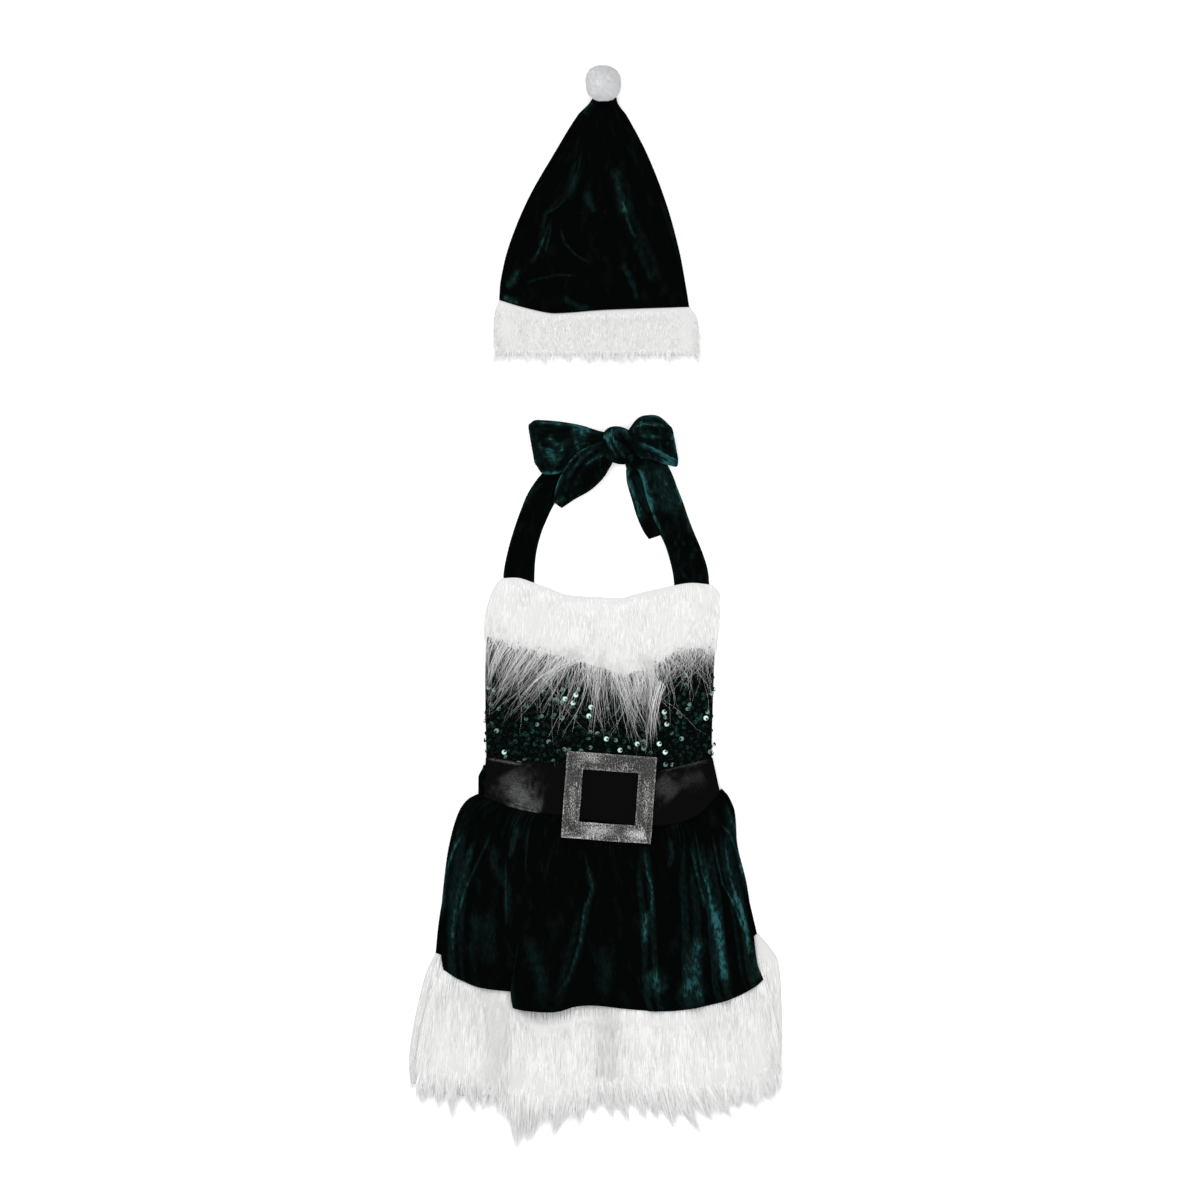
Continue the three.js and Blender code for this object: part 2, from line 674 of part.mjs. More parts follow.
function buckle() {
  const halfW = BUCKLE.wide / 2;
  const halfH = BUCKLE.tall / 2;
  const r = BUCKLE.corner;
  const outline = new THREE.Shape();
  outline.moveTo(r - halfW, -halfH);
  outline.absarc(halfW - r, r - halfH, r, -Math.PI / 2, 0);
  outline.absarc(halfW - r, halfH - r, r, 0, Math.PI / 2);
  outline.absarc(r - halfW, halfH - r, r, Math.PI / 2, Math.PI);
  outline.absarc(r - halfW, r - halfH, r, Math.PI, 1.5 * Math.PI);
  const inW = halfW - BUCKLE.bar;
  const inH = halfH - BUCKLE.bar;
  const corners = [[-inW, -inH], [-inW, inH], [inW, inH], [inW, -inH]];
  outline.holes.push(new THREE.Path(corners.map(([x, y]) => new THREE.Vector2(x, y))));
  const depth = BUCKLE.thick;
  return new THREE.ExtrudeGeometry(outline, { depth, bevelEnabled: false, curveSegments: 3 });
}

// Knot of the bow: the tie is wrapped once round, on a slant
const KNOT = { x: 22.8, y: 293.4, z: 11, halfX: 22, halfY: 24.5, halfZ: 11.5, turn: 0.6, grooves: 5 };
const KNOT_GROOVE = { deep: 0.05, slant: 2.5, narrows: 0.15 };

function knot(grow) {
  const geometry = new THREE.SphereGeometry(1, 20, 12);
  const position = geometry.attributes.position;
  for (let k = 0; k < position.count; k++) {
    const p = new THREE.Vector3().fromBufferAttribute(position, k);
    const round = Math.atan2(p.x, p.z);
    const wave = Math.cos(KNOT.grooves * round + KNOT_GROOVE.slant * p.y);
    const groove = 1 + KNOT_GROOVE.deep * wave * (1 - p.y * p.y);
    p.x *= (KNOT.halfX * groove + grow) * (1 - KNOT_GROOVE.narrows * p.y * p.y);
    p.y *= KNOT.halfY + grow;
    p.z *= KNOT.halfZ * groove + grow;
    p.applyAxisAngle(new THREE.Vector3(0, 0, 1), KNOT.turn);
    p.z = Math.max(p.z + KNOT.z, -grow);
    position.setXYZ(k, p.x + KNOT.x, p.y + KNOT.y, p.z);
  }
  return geometry;
}

// A tie lies as a ribbon along a row of stations: its middle, its width and its height.
// roll lifts its left edge, as seen going along it, and where it is negative the right edge.
const ROLL = { from: 0.45, grownAt: 0.3 };
function ribbon(stations, roll, across, along) {
  const count = stations.length - 1;
  const path = new THREE.CatmullRomCurve3(stations.map(({ x, y, up }) => new THREE.Vector3(x, y, up)));
  const width = curve(stations.map((row, k) => ({ at: k / count, wide: row.wide })), "at", "wide");
  const under = (s, t) => {
    const middle = path.getPoint(t);
    const ahead = path.getPoint(Math.min(t + 1e-3, 1)).sub(path.getPoint(Math.max(t - 1e-3, 0)));
    const side = new THREE.Vector3(-ahead.y, ahead.x, 0).normalize();
    const lift = Math.abs(roll) * smooth(ROLL.from, 1, roll > 0 ? s : 1 - s) * smooth(0, ROLL.grownAt, t);
    return middle.addScaledVector(side, (s - 0.5) * width(t)).add(new THREE.Vector3(0, 0, lift));
  };
  return wall(under, across, along, () => TIE);
}

const STRAP_LEFT = [
  { x: -97.5, y: bodiceTop(-97.5) + 0.5, wide: 37, up: 0 },
  { x: -97, y: 141, wide: 37, up: 0 },
  { x: -93.6, y: 165, wide: 34, up: 0 },
  { x: -87, y: 190, wide: 32.5, up: 0 },
  { x: -80, y: 209, wide: 33, up: 0 },
  { x: -70.5, y: 230, wide: 34, up: 0 },
  { x: -56, y: 251, wide: 32, up: 0.1 },
  { x: -34, y: 270, wide: 30, up: 0.3 },
  { x: -6, y: 285, wide: 26, up: 2.2 },
  { x: 16, y: 291, wide: 20, up: 4.4 },
];
const STRAP_RIGHT = [
  { x: 110.5, y: bodiceTop(110.5) + 0.5, wide: 42, up: 0 },
  { x: 108.5, y: 141, wide: 42, up: 0 },
  { x: 103, y: 161, wide: 40, up: 1 },
  { x: 96, y: 180, wide: 38, up: 2.4 },
  { x: 88, y: 199, wide: 39, up: 2.4 },
  { x: 81, y: 218, wide: 40, up: 2.4 },
  { x: 74.5, y: 236, wide: 39, up: 2.4 },
  { x: 69.5, y: 252, wide: 37, up: 2.4 },
  { x: 62, y: 268, wide: 34, up: 2.6 },
  { x: 48, y: 281, wide: 29, up: 3.4 },
  { x: 28, y: 289, wide: 20, up: 5.5 },
];
const TAIL_RIGHT = [
  { x: 70.5, y: 185, wide: 25, up: 0 },
  { x: 67, y: 195, wide: 31, up: 0 },
  { x: 60, y: 213, wide: 33, up: 0 },
  { x: 54, y: 233, wide: 33, up: 0 },
  { x: 48, y: 252, wide: 32, up: 0 },
  { x: 45, y: 269, wide: 29, up: 0.1 },
  { x: 37, y: 282, wide: 20, up: 0.6 },
];
const TAIL_LEFT = [
  { x: 14, y: 291, wide: 22, up: 12.5 },
  { x: 3, y: 282, wide: 33, up: 13 },
  { x: -10.5, y: 270, wide: 43, up: 12.4 },
  { x: -24, y: 256, wide: 42, up: 11 },
  { x: -38, y: 241, wide: 31, up: 6.4 },
  { x: -51, y: 222, wide: 13, up: 2.8 },
];

// A loop of the bow: the tie runs out from the knot and back over itself. Its section, from the
// knot along the lower layer, round the end and back, as shares of the reach and of the puff:
const LOOP_SECTION = [
  { out: 0, up: -0.25 },
  { out: 0.28, up: -0.6 },
  { out: 0.58, up: -1 },
  { out: 0.84, up: -0.98 },
  { out: 0.97, up: -0.6 },
  { out: 1, up: 0 },
  { out: 0.97, up: 0.6 },
  { out: 0.84, up: 0.98 },
  { out: 0.58, up: 1 },
  { out: 0.28, up: 0.6 },
  { out: 0, up: 0.25 },
];
// The long edges of each loop at shares of its reach. slack is how far the lower layer hangs out
// below the upper one, and dip is how far the loop's lower edge sinks under the tail that crosses it.
const LOOP_LEFT = {
  knotX: 14, endTop: -84.5, endBottom: -76, middle: 10.8, puff: 5.4, slack: 0, dip: 2.2,
  edges: [
    { out: 0, top: 307, bottom: 297 },
    { out: 0.2, top: 311, bottom: 293 },
    { out: 0.45, top: 316.5, bottom: 279 },
    { out: 0.65, top: 319.5, bottom: 262 },
    { out: 0.85, top: 321, bottom: 259 },
    { out: 1, top: 322, bottom: 264 },
  ],
};
const LOOP_RIGHT = {
  knotX: 32, endTop: 84.5, endBottom: 92.5, middle: 14, puff: 6, slack: 21, dip: 0,
  edges: [
    { out: 0, top: 309, bottom: 299 },
    { out: 0.25, top: 325.5, bottom: 295 },
    { out: 0.5, top: 329.5, bottom: 289.5 },
    { out: 0.75, top: 327.5, bottom: 281 },
    { out: 1, top: 315, bottom: 273 },
  ],
};

// The loop's slack, pleats and lower edge: each grows or fades over a share of the way
const LOOP_SLACK = { below: 1.6, from: 0.2, fades: 0.7 };
const LOOP_PLEATS = { deep: 0.3, count: 2 };
const LOOP_LOWER = { share: 0.45, flatter: 0.6 };

function loop(side) {
  const section = LOOP_SECTION.map(({ out, up }) => new THREE.Vector3(out, 0, up));
  const path = new THREE.CatmullRomCurve3(section, false, "centripetal");
  const top = curve(side.edges, "out", "top");
  const bottom = curve(side.edges, "out", "bottom");
  const leftward = side.endTop < side.knotX;
  const under = (s, t) => {
    const share = leftward ? s : 1 - s;
    const at = path.getPoint(t);
    const low = THREE.MathUtils.clamp(-LOOP_SLACK.below * at.z, 0, 1);
    const below = low * smooth(0, LOOP_SLACK.from, at.x);
    const slack = side.slack * below * (1 - LOOP_SLACK.fades * at.x) * (1 - share);
    const pleat = 1 + LOOP_PLEATS.deep * Math.cos(2 * Math.PI * LOOP_PLEATS.count * s) * (1 - at.x);
    const lower = side.dip > 0 ? 1 - smooth(0, LOOP_LOWER.share, share) : 0;
    const x = mix(side.knotX, mix(side.endBottom, side.endTop, share), at.x);
    const y = mix(bottom(at.x), top(at.x), share) - slack;
    const puff = side.puff * pleat * (1 - LOOP_LOWER.flatter * lower);
    return new THREE.Vector3(x, y, side.middle - side.dip * lower + puff * at.z);
  };
  return wall(under, 5, 18, () => TIE);
}

// Hat: two velvet panels, a fur band front and back, and a pompom at the tip
const HAT_SIDES = [
  { down: 0, left: -8, right: 19.5 },
  { down: 0.035, left: -13.8, right: 22 },
  { down: 0.09, left: -27, right: 32.5 },
  { down: 0.27, left: -54, right: 56.4 },
  { down: 0.5, left: -86, right: 79 },
  { down: 0.73, left: -109, right: 95 },
  { down: 0.9, left: -119, right: 103 },
  { down: 1, left: -121, right: 107 },
];
const HAT_SEAM = [
  { x: -121, y: 468 },
  { x: -95, y: 460 },
  { x: -62, y: 452.6 },
  { x: -40, y: 452.6 },
  { x: 5, y: 456 },
  { x: 107, y: 459.6 },
];
const HAT_TIP_Y = 711;
// How high the front of the hat puffs up, over what share of its width, and how little at the tip
const HAT_LOFT = { high: 6, margin: 0.3, atTip: 0.35, grownAt: 0.4 };
const HAT_CREASE_MARGIN = 0.1;
// Creases in the front panel: points down each crease, how wide and how high it is
const HAT_CREASES = [
  { wide: 9, high: 2.2, points: [[-17, 690], [-25, 630], [-38, 592], [-62, 568], [-68, 523], [-76, 490]] },
  { wide: 13, high: 3.4, points: [[20, 622], [31, 571], [44, 543], [58, 512], [68, 494]] },
  { wide: 10, high: 1.8, points: [[-46, 552], [-36, 532], [-16, 515], [0, 506]] },
  { wide: 10, high: 1.8, points: [[26, 517], [30, 496], [42, 470]] },
];
const hatSeam = curve(HAT_SEAM, "x", "y");
const hatPlan = plan(HAT_SIDES, () => HAT_TIP_Y, hatSeam);

const POMPOM = { x: 4, y: 726.5, z: 20.5, radius: 22, lumps: 0.5 };

function pompom(grow) {
  const geometry = new THREE.SphereGeometry(1, 18, 12);
  const position = geometry.attributes.position;
  for (let k = 0; k < position.count; k++) {
    const p = new THREE.Vector3().fromBufferAttribute(position, k);
    const lump = POMPOM.lumps * Math.sin(5 * p.x + 1) * Math.sin(6 * p.y + 2) * Math.sin(5 * p.z);
    p.multiplyScalar(POMPOM.radius + lump + grow);
    p.z = Math.max(p.z + POMPOM.z, -grow);
    position.setXYZ(k, p.x + POMPOM.x, p.y + POMPOM.y, p.z);
  }
  return geometry;
}

function creaseHeight(creases, x, y) {
  return creases.reduce((height, { wide, high, points }) => {
    let best = { far: Infinity, along: 0 };
    for (let k = 0; k < points.length - 1; k++) {
      const [ax, ay] = points[k];
      const [bx, by] = points[k + 1];
      const length2 = (bx - ax) ** 2 + (by - ay) ** 2;
      const raw = ((x - ax) * (bx - ax) + (y - ay) * (by - ay)) / length2;
      const share = THREE.MathUtils.clamp(raw, 0, 1);
      const far = Math.hypot(x - mix(ax, bx, share), y - mix(ay, by, share));
      if (far < best.far) best = { far, along: (k + share) / (points.length - 1) };
    }
    if (best.far >= wide) return height;
    const fade = smooth(0, 0.25, best.along) * smooth(0, 0.25, 1 - best.along);
    return height + high * fade * (0.5 + 0.5 * Math.cos((Math.PI * best.far) / wide));
  }, 0);
}

// Both panels rise to the pompom at the tip.
const TIP_RISE = { front: 6, back: 4.4, from: 0.02, to: 0.16 };
const tipRise = (t) => 1 - smooth(TIP_RISE.from, TIP_RISE.to, t);

function hatFront() {
  const under = (s, t) => {
    const { x, y } = hatPlan(s, t);
    const { high, margin, atTip, grownAt } = HAT_LOFT;
    const loft = high * inside(s, margin) * mix(atTip, 1, smooth(0, grownAt, t));
    const level = VELVET + GAP + loft + TIP_RISE.front * tipRise(t);
    const creases = creaseHeight(HAT_CREASES, x, y) * inside(s, HAT_CREASE_MARGIN);
    return new THREE.Vector3(x, y, level + creases);
  };
  return minus(wall(under, 18, 13, () => VELVET), pompom(GAP));
}

function hatBack() {
  const under = (s, t) => {
    const { x, y } = hatPlan(s, t);
    return new THREE.Vector3(x, y, TIP_RISE.back * tipRise(t));
  };
  return minus(wall(under, 8, 13, () => VELVET), pompom(GAP));
}

const HAT_BAND_SIDES = [
  { down: 0, left: -121, right: 108 },
  { down: 0.2, left: -126, right: 116 },
  { down: 0.6, left: -127.5, right: 119 },
  { down: 1, left: -125, right: 118.5 },
];
const HAT_BAND = { lowY: 402, tufts: 14, tuftLong: 8, back: 5, front: 10, split: 5.4 };
const HAT_BAND_EDGE = { level: 2.6, thick: 2.2, margin: 0.1, tuftsFrom: 0.75 };
const HAT_BAND_DEEP = [
  { down: 0, share: 0.35 },
  { down: 0.15, share: 0.75 },
  { down: 0.5, share: 1 },
  { down: 0.85, share: 0.8 },
  { down: 1, share: 0.3 },
];

function hatBand(front) {
  const share = curve(HAT_BAND_DEEP, "down", "share");
  const at = plan(HAT_BAND_SIDES, (x) => hatSeam(x) - 2 * GAP, () => HAT_BAND.lowY);
  const deep = front ? HAT_BAND.front : HAT_BAND.back;
  const under = (s, t) => {
    const { x, y } = at(s, t);
    const hang = tuft(HAT_BAND.tufts, HAT_BAND.tuftLong, s) * smooth(HAT_BAND_EDGE.tuftsFrom, 1, t);
    const level = mix(HAT_BAND_EDGE.level, HAT_BAND.split, inside(s, HAT_BAND_EDGE.margin));
    return new THREE.Vector3(x, y - hang, front ? level : 0);
  };
  const thick = (s, t) => {
    const full = deep * share(t);
    return mix(Math.min(HAT_BAND_EDGE.thick, full), full, inside(s, HAT_BAND_EDGE.margin));
  };
  return wall(under, 2 * HAT_BAND.tufts, 4, thick);
}

add(dress, "back_waistband", backWaistband(), "velvet");
add(dress, "skirt_back", backSkirt(), "velvet");
add(dress, "skirt_front", frontSkirt(), "velvet");
add(dress, "hem_fur_back", backFur(), "fur");
add(dress, "hem_fur_front", frontFur(), "fur");
add(dress, "hem_fur_locks", hemLocks(), "fur");
add(dress, "bodice_front", bodice(), "sequin_cloth");
add(dress, "bib_fur", bibFur(), "fur");
add(dress, "bib_fur_locks", bibLocks(), "fur");
add(dress, "belt", belt(), "leatherette");
const buckleMesh = add(dress, "buckle", buckle(), "foil");
const buckleLevel = BELT_MIDDLE.level + LEATHERETTE + BUCKLE.clear;
buckleMesh.position.set(BELT_MIDDLE.x, BELT_MIDDLE.y, buckleLevel);
buckleMesh.rotation.set(-BELT_LEAN, 0, BUCKLE.turn);

const aroundKnot = knot(GAP);
add(bow, "strap_left", minus(ribbon(STRAP_LEFT, 0, 4, 16), aroundKnot), "velvet");
add(bow, "strap_right", minus(ribbon(STRAP_RIGHT, 0, 4, 16), aroundKnot), "velvet");
add(bow, "bow_tail_right", minus(ribbon(TAIL_RIGHT, 0, 4, 10), aroundKnot), "velvet");
add(bow, "bow_tail_left", minus(ribbon(TAIL_LEFT, -4, 6, 12), aroundKnot), "velvet");
add(bow, "bow_loop_left", minus(loop(LOOP_LEFT), aroundKnot), "velvet");
add(bow, "bow_loop_right", minus(loop(LOOP_RIGHT), aroundKnot), "velvet");
add(bow, "bow_knot", knot(0), "velvet");

add(hat, "hat_back", hatBack(), "velvet");
add(hat, "hat_front", hatFront(), "velvet");
add(hat, "hat_band_back", hatBand(false), "fur");
add(hat, "hat_band_front", hatBand(true), "fur");
add(hat, "hat_pompom", pompom(0), "pompom");

const costume = new THREE.Group();
costume.add(dress, bow, hat);

export default costume;
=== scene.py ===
"""A child's halter dress with a long fur hem, a belt and a square buckle, and a pointed hat,
laid flat: the cloths, furs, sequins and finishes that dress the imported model."""

import math

import bpy
import numpy as np
from mathutils import Matrix, Vector


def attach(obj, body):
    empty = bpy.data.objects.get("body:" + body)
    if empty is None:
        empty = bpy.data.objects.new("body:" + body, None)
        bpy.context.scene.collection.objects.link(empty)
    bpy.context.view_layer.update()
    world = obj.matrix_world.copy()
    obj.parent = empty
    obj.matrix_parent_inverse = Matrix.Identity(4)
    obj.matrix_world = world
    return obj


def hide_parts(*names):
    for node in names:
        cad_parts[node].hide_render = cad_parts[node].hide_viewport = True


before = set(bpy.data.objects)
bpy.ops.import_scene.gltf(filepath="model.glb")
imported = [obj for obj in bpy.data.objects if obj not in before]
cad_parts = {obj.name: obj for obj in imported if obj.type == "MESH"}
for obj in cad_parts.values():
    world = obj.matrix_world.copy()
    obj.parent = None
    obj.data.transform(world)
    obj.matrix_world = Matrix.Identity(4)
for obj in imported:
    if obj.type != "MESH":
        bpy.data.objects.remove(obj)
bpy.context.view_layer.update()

bl_info = {
    "name": "Fur-trimmed dress and hat",
    "version": (1, 0, 0),
    "blender": (4, 5, 0),
    "location": "View3D > Sidebar > Costume",
    "description": "Makes a fur-trimmed velvet dress and hat, laid flat, piece by piece",
    "category": "Add Mesh",
}

# Forms are worked out in millimetres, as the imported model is, and made in metres.
MM = 0.001
BODY = "root"

# Walls of the cloths, and the gap at seams and between layers
GAP = 0.3
VELVET = 1.5
SEQUIN_CLOTH = 1.6
TIE = 2.0
LEATHERETTE = 1.3
ELASTIC = 3.0


def mix(a, b, share):
    """The value between a and b at a share of the way."""
    return a + (b - a) * share


def smooth(start, end, at):
    """0 before start, 1 past end, and an eased rise between them."""
    share = np.clip((at - start) / (end - start), 0, 1)
    return share * share * (3 - 2 * share)


def chance(nth):
    """A repeatable number from 0 to 1 for each of a row of like things."""
    long = np.sin(np.asarray(nth) * 127.1 + 3.7) * 43758.5453
    return long - np.floor(long)


def ripple(u, v, seed):
    """Soft uneven waves from -1 to 1, about one to each unit of u and v."""
    i, j = np.floor(u), np.floor(v)
    a, b = smooth(0, 1, u - i), smooth(0, 1, v - j)

    def corner(right, down):
        return chance(seed + 57.0 * (i + right) + 131.0 * (j + down))

    upper = mix(corner(0, 0), corner(1, 0), a)
    lower = mix(corner(0, 1), corner(1, 1), a)
    return 2 * mix(upper, lower, b) - 1


def curve(rows, give=1):
    """A smooth curve through a table: column `give` at a value of its first column."""
    by = np.array([row[0] for row in rows], float)
    value = np.array([row[give] for row in rows], float)
    last = len(rows) - 1
    before = np.maximum(np.arange(last + 1) - 1, 0)
    after = np.minimum(np.arange(last + 1) + 1, last)
    slope = (value[after] - value[before]) / (by[after] - by[before])

    def read(at):
        at = np.clip(at, by[0], by[-1])
        k = np.clip(np.searchsorted(by, at, side="right") - 1, 0, last - 1)
        span = by[k + 1] - by[k]
        u = (at - by[k]) / span
        leave = u * (1 - u) ** 2 * span * slope[k]
        arrive = u * u * (u - 1) * span * slope[k + 1]
        return mix(value[k], value[k + 1], u * u * (3 - 2 * u)) + leave + arrive

    return read


def plan(sides, top, bottom):
    """The plan of a panel between its top and bottom edges, at s across and t down.
    sides has how far it reaches on the left and right at each share of the way down."""
    left, right = curve(sides, 1), curve(sides, 2)

    def place(s, t):
        top_y = top(mix(left(0.0), right(0.0), s))
        bottom_y = bottom(mix(left(1.0), right(1.0), s))
        return mix(left(t), right(t), s), mix(top_y, bottom_y, t)

    return place


def inside(s, margin):
    """0 at a panel's side edges and 1 inside them."""
    return smooth(0, margin, s) * smooth(0, margin, 1 - s)


def through(points):
    """A smooth path through points, at shares from 0 to 1, with an equal share to each stretch."""
    p = np.array(points, float)
    p = np.vstack([2 * p[0] - p[1], p, 2 * p[-1] - p[-2]])
    step = np.linalg.norm(np.diff(p, axis=0), axis=1) ** 0.5
    last = len(points) - 2

    def at(share):
        along = np.asarray(share, float) * (last + 1)
        k = np.clip(np.floor(along), 0, last).astype(int)
        u = (along - k)[..., None]
        a, b, c, d = p[k], p[k + 1], p[k + 2], p[k + 3]
        ab, bc, cd = (step[k + n][..., None] for n in range(3))
        leave = bc * ((b - a) / ab - (c - a) / (ab + bc)) + c - b
        arrive = c - b - bc * ((d - b) / (bc + cd) - (d - c) / cd)
        cubic = u * u * u * (2 * b - 2 * c + leave + arrive)
        return b + u * leave + u * u * (3 * c - 3 * b - 2 * leave - arrive) + cubic

    return at


def near(x, y, path):
    """How far x, y is from a path of straight stretches, and where along it the nearest point is."""
    far = np.full(np.shape(x), 1e9)
    along = np.zeros(np.shape(x))
    for k, ((ax, ay), (bx, by)) in enumerate(zip(path[:-1], path[1:])):
        length = (bx - ax) ** 2 + (by - ay) ** 2
        share = np.clip(((x - ax) * (bx - ax) + (y - ay) * (by - ay)) / length, 0, 1)
        away = np.hypot(x - mix(ax, bx, share), y - mix(ay, by, share))
        along = np.where(away < far, (k + share) / (len(path) - 1), along)
        far = np.minimum(far, away)
    return far, along


def ridges(x, y, rows):
    """The height of soft ridges, or troughs, along short paths: rows of (wide, high, path)."""
    height = np.zeros(np.shape(x))
    for wide, high, path in rows:
        far, along = near(x, y, path)
        fade = smooth(0, 0.25, along) * smooth(0, 0.25, 1 - along)
        bell = 0.5 + 0.5 * np.cos(np.pi * np.minimum(far / wide, 1))
        height = height + high * fade * bell
    return height


def streaks(x, y, rows):
    """How much light or shade is painted along short paths: rows of (wide, bright, path)."""
    light = np.zeros(np.shape(x))
    for wide, bright, path in rows:
        far, along = near(x, y, path)
        uneven = 1 + 0.45 * ripple(x / 3.1, y / 5.3, 7.0)
        fade = smooth(0, 0.2, along) * smooth(0, 0.2, 1 - along)
        light = light + bright * fade * np.exp(-((far / (wide * uneven)) ** 2))
    return light


def xyz(x, y, z):
    """Points from their coordinates."""
    return np.stack(np.broadcast_arrays(x, y, z), axis=-1)


# The under side of a wall has one face for this many on its upper side, each way
UNDER_STRIDE = 3


def under_faces(index):
    """Faces of the under side of a wall: coarse inside, with every point along its rim."""
    step = UNDER_STRIDE
    last_row, last_column = index.shape[0] - 1, index.shape[1] - 1
    faces = []
    for i in range(0, last_row, step):
        for j in range(0, last_column, step):
            top = index[i, j : j + step + 1][:: 1 if i == 0 else step]
            right = index[i : i + step + 1, j + step][:: 1 if j + step == last_column else step]
            bottom = index[i + step, j : j + step + 1][:: -1 if i + step == last_row else -step]
            left = index[i : i + step + 1, j][:: -1 if j == 0 else -step]
            around = np.concatenate([top[:-1], right[:-1], bottom[:-1], left[:-1]])
            if len(around) == 4:
                faces.append(tuple(around))
                continue
            apex = index[i + step if i == 0 else i, j + step if j == 0 else j]
            around = np.roll(around, -int(np.argmax(around == apex)))
            faces += [(around[0], a, b) for a, b in zip(around[1:-1], around[2:])]
    return faces


class Wall:
    """A closed wall on the sheet under(s, t), thick(s, t) along the sheet's own normal.
    s runs left to right and t runs down where the wall faces up."""

    def __init__(self, under, thick, across, along, crowd=1.0):
        across, along = (UNDER_STRIDE * round(count / UNDER_STRIDE) for count in (across, along))
        s, v = np.meshgrid(np.linspace(0, 1, across + 1), np.linspace(0, 1, along + 1))
        t = v**crowd
        low = under(s, t)
        normal = np.cross(np.gradient(low, axis=0), np.gradient(low, axis=1))
        normal /= np.linalg.norm(normal, axis=2, keepdims=True)
        high = low + normal * np.broadcast_to(thick(s, t), s.shape)[..., None]
        wide = np.linalg.norm(np.diff(low, axis=1), axis=2).sum(axis=1).mean()
        long = np.linalg.norm(np.diff(low, axis=0), axis=2).sum(axis=0).mean()
        flat = np.stack([s * wide, -t * long], axis=-1).reshape(-1, 2) * MM
        index = np.arange(s.size).reshape(s.shape)
        size = s.size
        a, b = index[:-1, :-1].ravel(), index[:-1, 1:].ravel()
        c, d = index[1:, 1:].ravel(), index[1:, :-1].ravel()
        rim = np.concatenate([index[:-1, 0], index[-1, :-1], index[:0:-1, -1], index[0, :0:-1]])
        after = np.roll(rim, -1)
        faces = under_faces(index)
        faces += [tuple(face) for face in np.stack([a, d, c, b], axis=1) + size]
        faces += [tuple(face) for face in np.stack([rim, after, after + size, rim + size], axis=1)]
        used = np.unique(np.concatenate([np.ravel(face) for face in faces]))
        place = np.zeros(2 * size, int)
        place[used] = np.arange(len(used))
        self.faces = [tuple(int(at) for at in place[list(face)]) for face in faces]
        self.points = np.concatenate([low.reshape(-1, 3), high.reshape(-1, 3)])[used]
        self.normals = np.concatenate([-normal.reshape(-1, 3), normal.reshape(-1, 3)])[used]
        self.uv = np.concatenate([flat, flat])[used]
        self.s = np.tile(s.ravel(), 2)[used]
        self.t = np.tile(t.ravel(), 2)[used]


def mesh_points(mesh):
    """Where the points of a mesh are, in its own units."""
    flat = np.empty(3 * len(mesh.vertices), np.float32)
    mesh.vertices.foreach_get("co", flat)
    return flat.reshape(-1, 3)


def put_points(mesh, points):
    """Puts the points of a mesh at places in millimetres."""
    mesh.vertices.foreach_set("co", (points * MM).astype(np.float32).ravel())


def keep_value(mesh, name, values):
    """Keeps a value on each point of a mesh, which its finish reads."""
    data = mesh.attributes.new(name, "FLOAT", "POINT").data
    data.foreach_set("value", np.ascontiguousarray(values, np.float32))


def primitive(name, add, **settings):
    """A primitive under a name, added with nothing else selected."""
    bpy.ops.object.select_all(action="DESELECT")
    add(**settings)
    piece = bpy.context.active_object
    piece.name = piece.data.name = name
    return piece


def stand_for(piece, node):
    """Lets a shaped primitive ride on the body in place of its CAD node."""
    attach(piece, BODY)
    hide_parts(node)


def make_piece(name, points, faces, finish, uv=None, facing=None, **attributes):
    """A mesh object from points in millimetres, riding on the body, with its material.
    facing has the ways its points face, where they shade as the surface below them does."""
    mesh = bpy.data.meshes.new(name)
    mesh.vertices.add(len(points))
    put_points(mesh, points)
    corners = np.concatenate(list(faces)).astype(np.int32)
    sizes = np.fromiter(map(len, faces), np.int32, len(faces))
    mesh.loops.add(len(corners))
    mesh.loops.foreach_set("vertex_index", corners)
    mesh.polygons.add(len(sizes))
    mesh.polygons.foreach_set("loop_start", (np.cumsum(sizes) - sizes).astype(np.int32))
    mesh.update(calc_edges=True)
    mesh.shade_smooth()
    if facing is not None:
        mesh.normals_split_custom_set_from_vertices(facing)
    if uv is not None:
        layer = mesh.uv_layers.new(name="cloth")
        layer.data.foreach_set("uv", uv[corners].astype(np.float32).ravel())
    for key, values in attributes.items():
        keep_value(mesh, key, values)
    mesh.materials.append(finish)
    piece = bpy.data.objects.new(name, mesh)
    bpy.context.scene.collection.objects.link(piece)
    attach(piece, BODY)
    return piece


def cloth_piece(name, wall, finish, slot, nodes, **attributes):
    """A wall as a piece that stands for its CAD nodes."""
    piece = make_piece(name, wall.points, wall.faces, finish, wall.uv, **attributes)
    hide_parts(*nodes)
    return piece


# How far a hair shades as the fur below it, from 0 to 1
HAIR_SOFT = 0.96
# How grey a hair is at its root, as a share of its tip
ROOT_SHADE = 0.2
# How much narrower a hair gets before its pointed end
HAIR_TAPER = 0.75
# Rings of points along a hair: on the fleeces, on the pompom and in the bib's long fall
HAIR_RINGS, PILE_RINGS, FALL_RINGS = 3, 2, 7


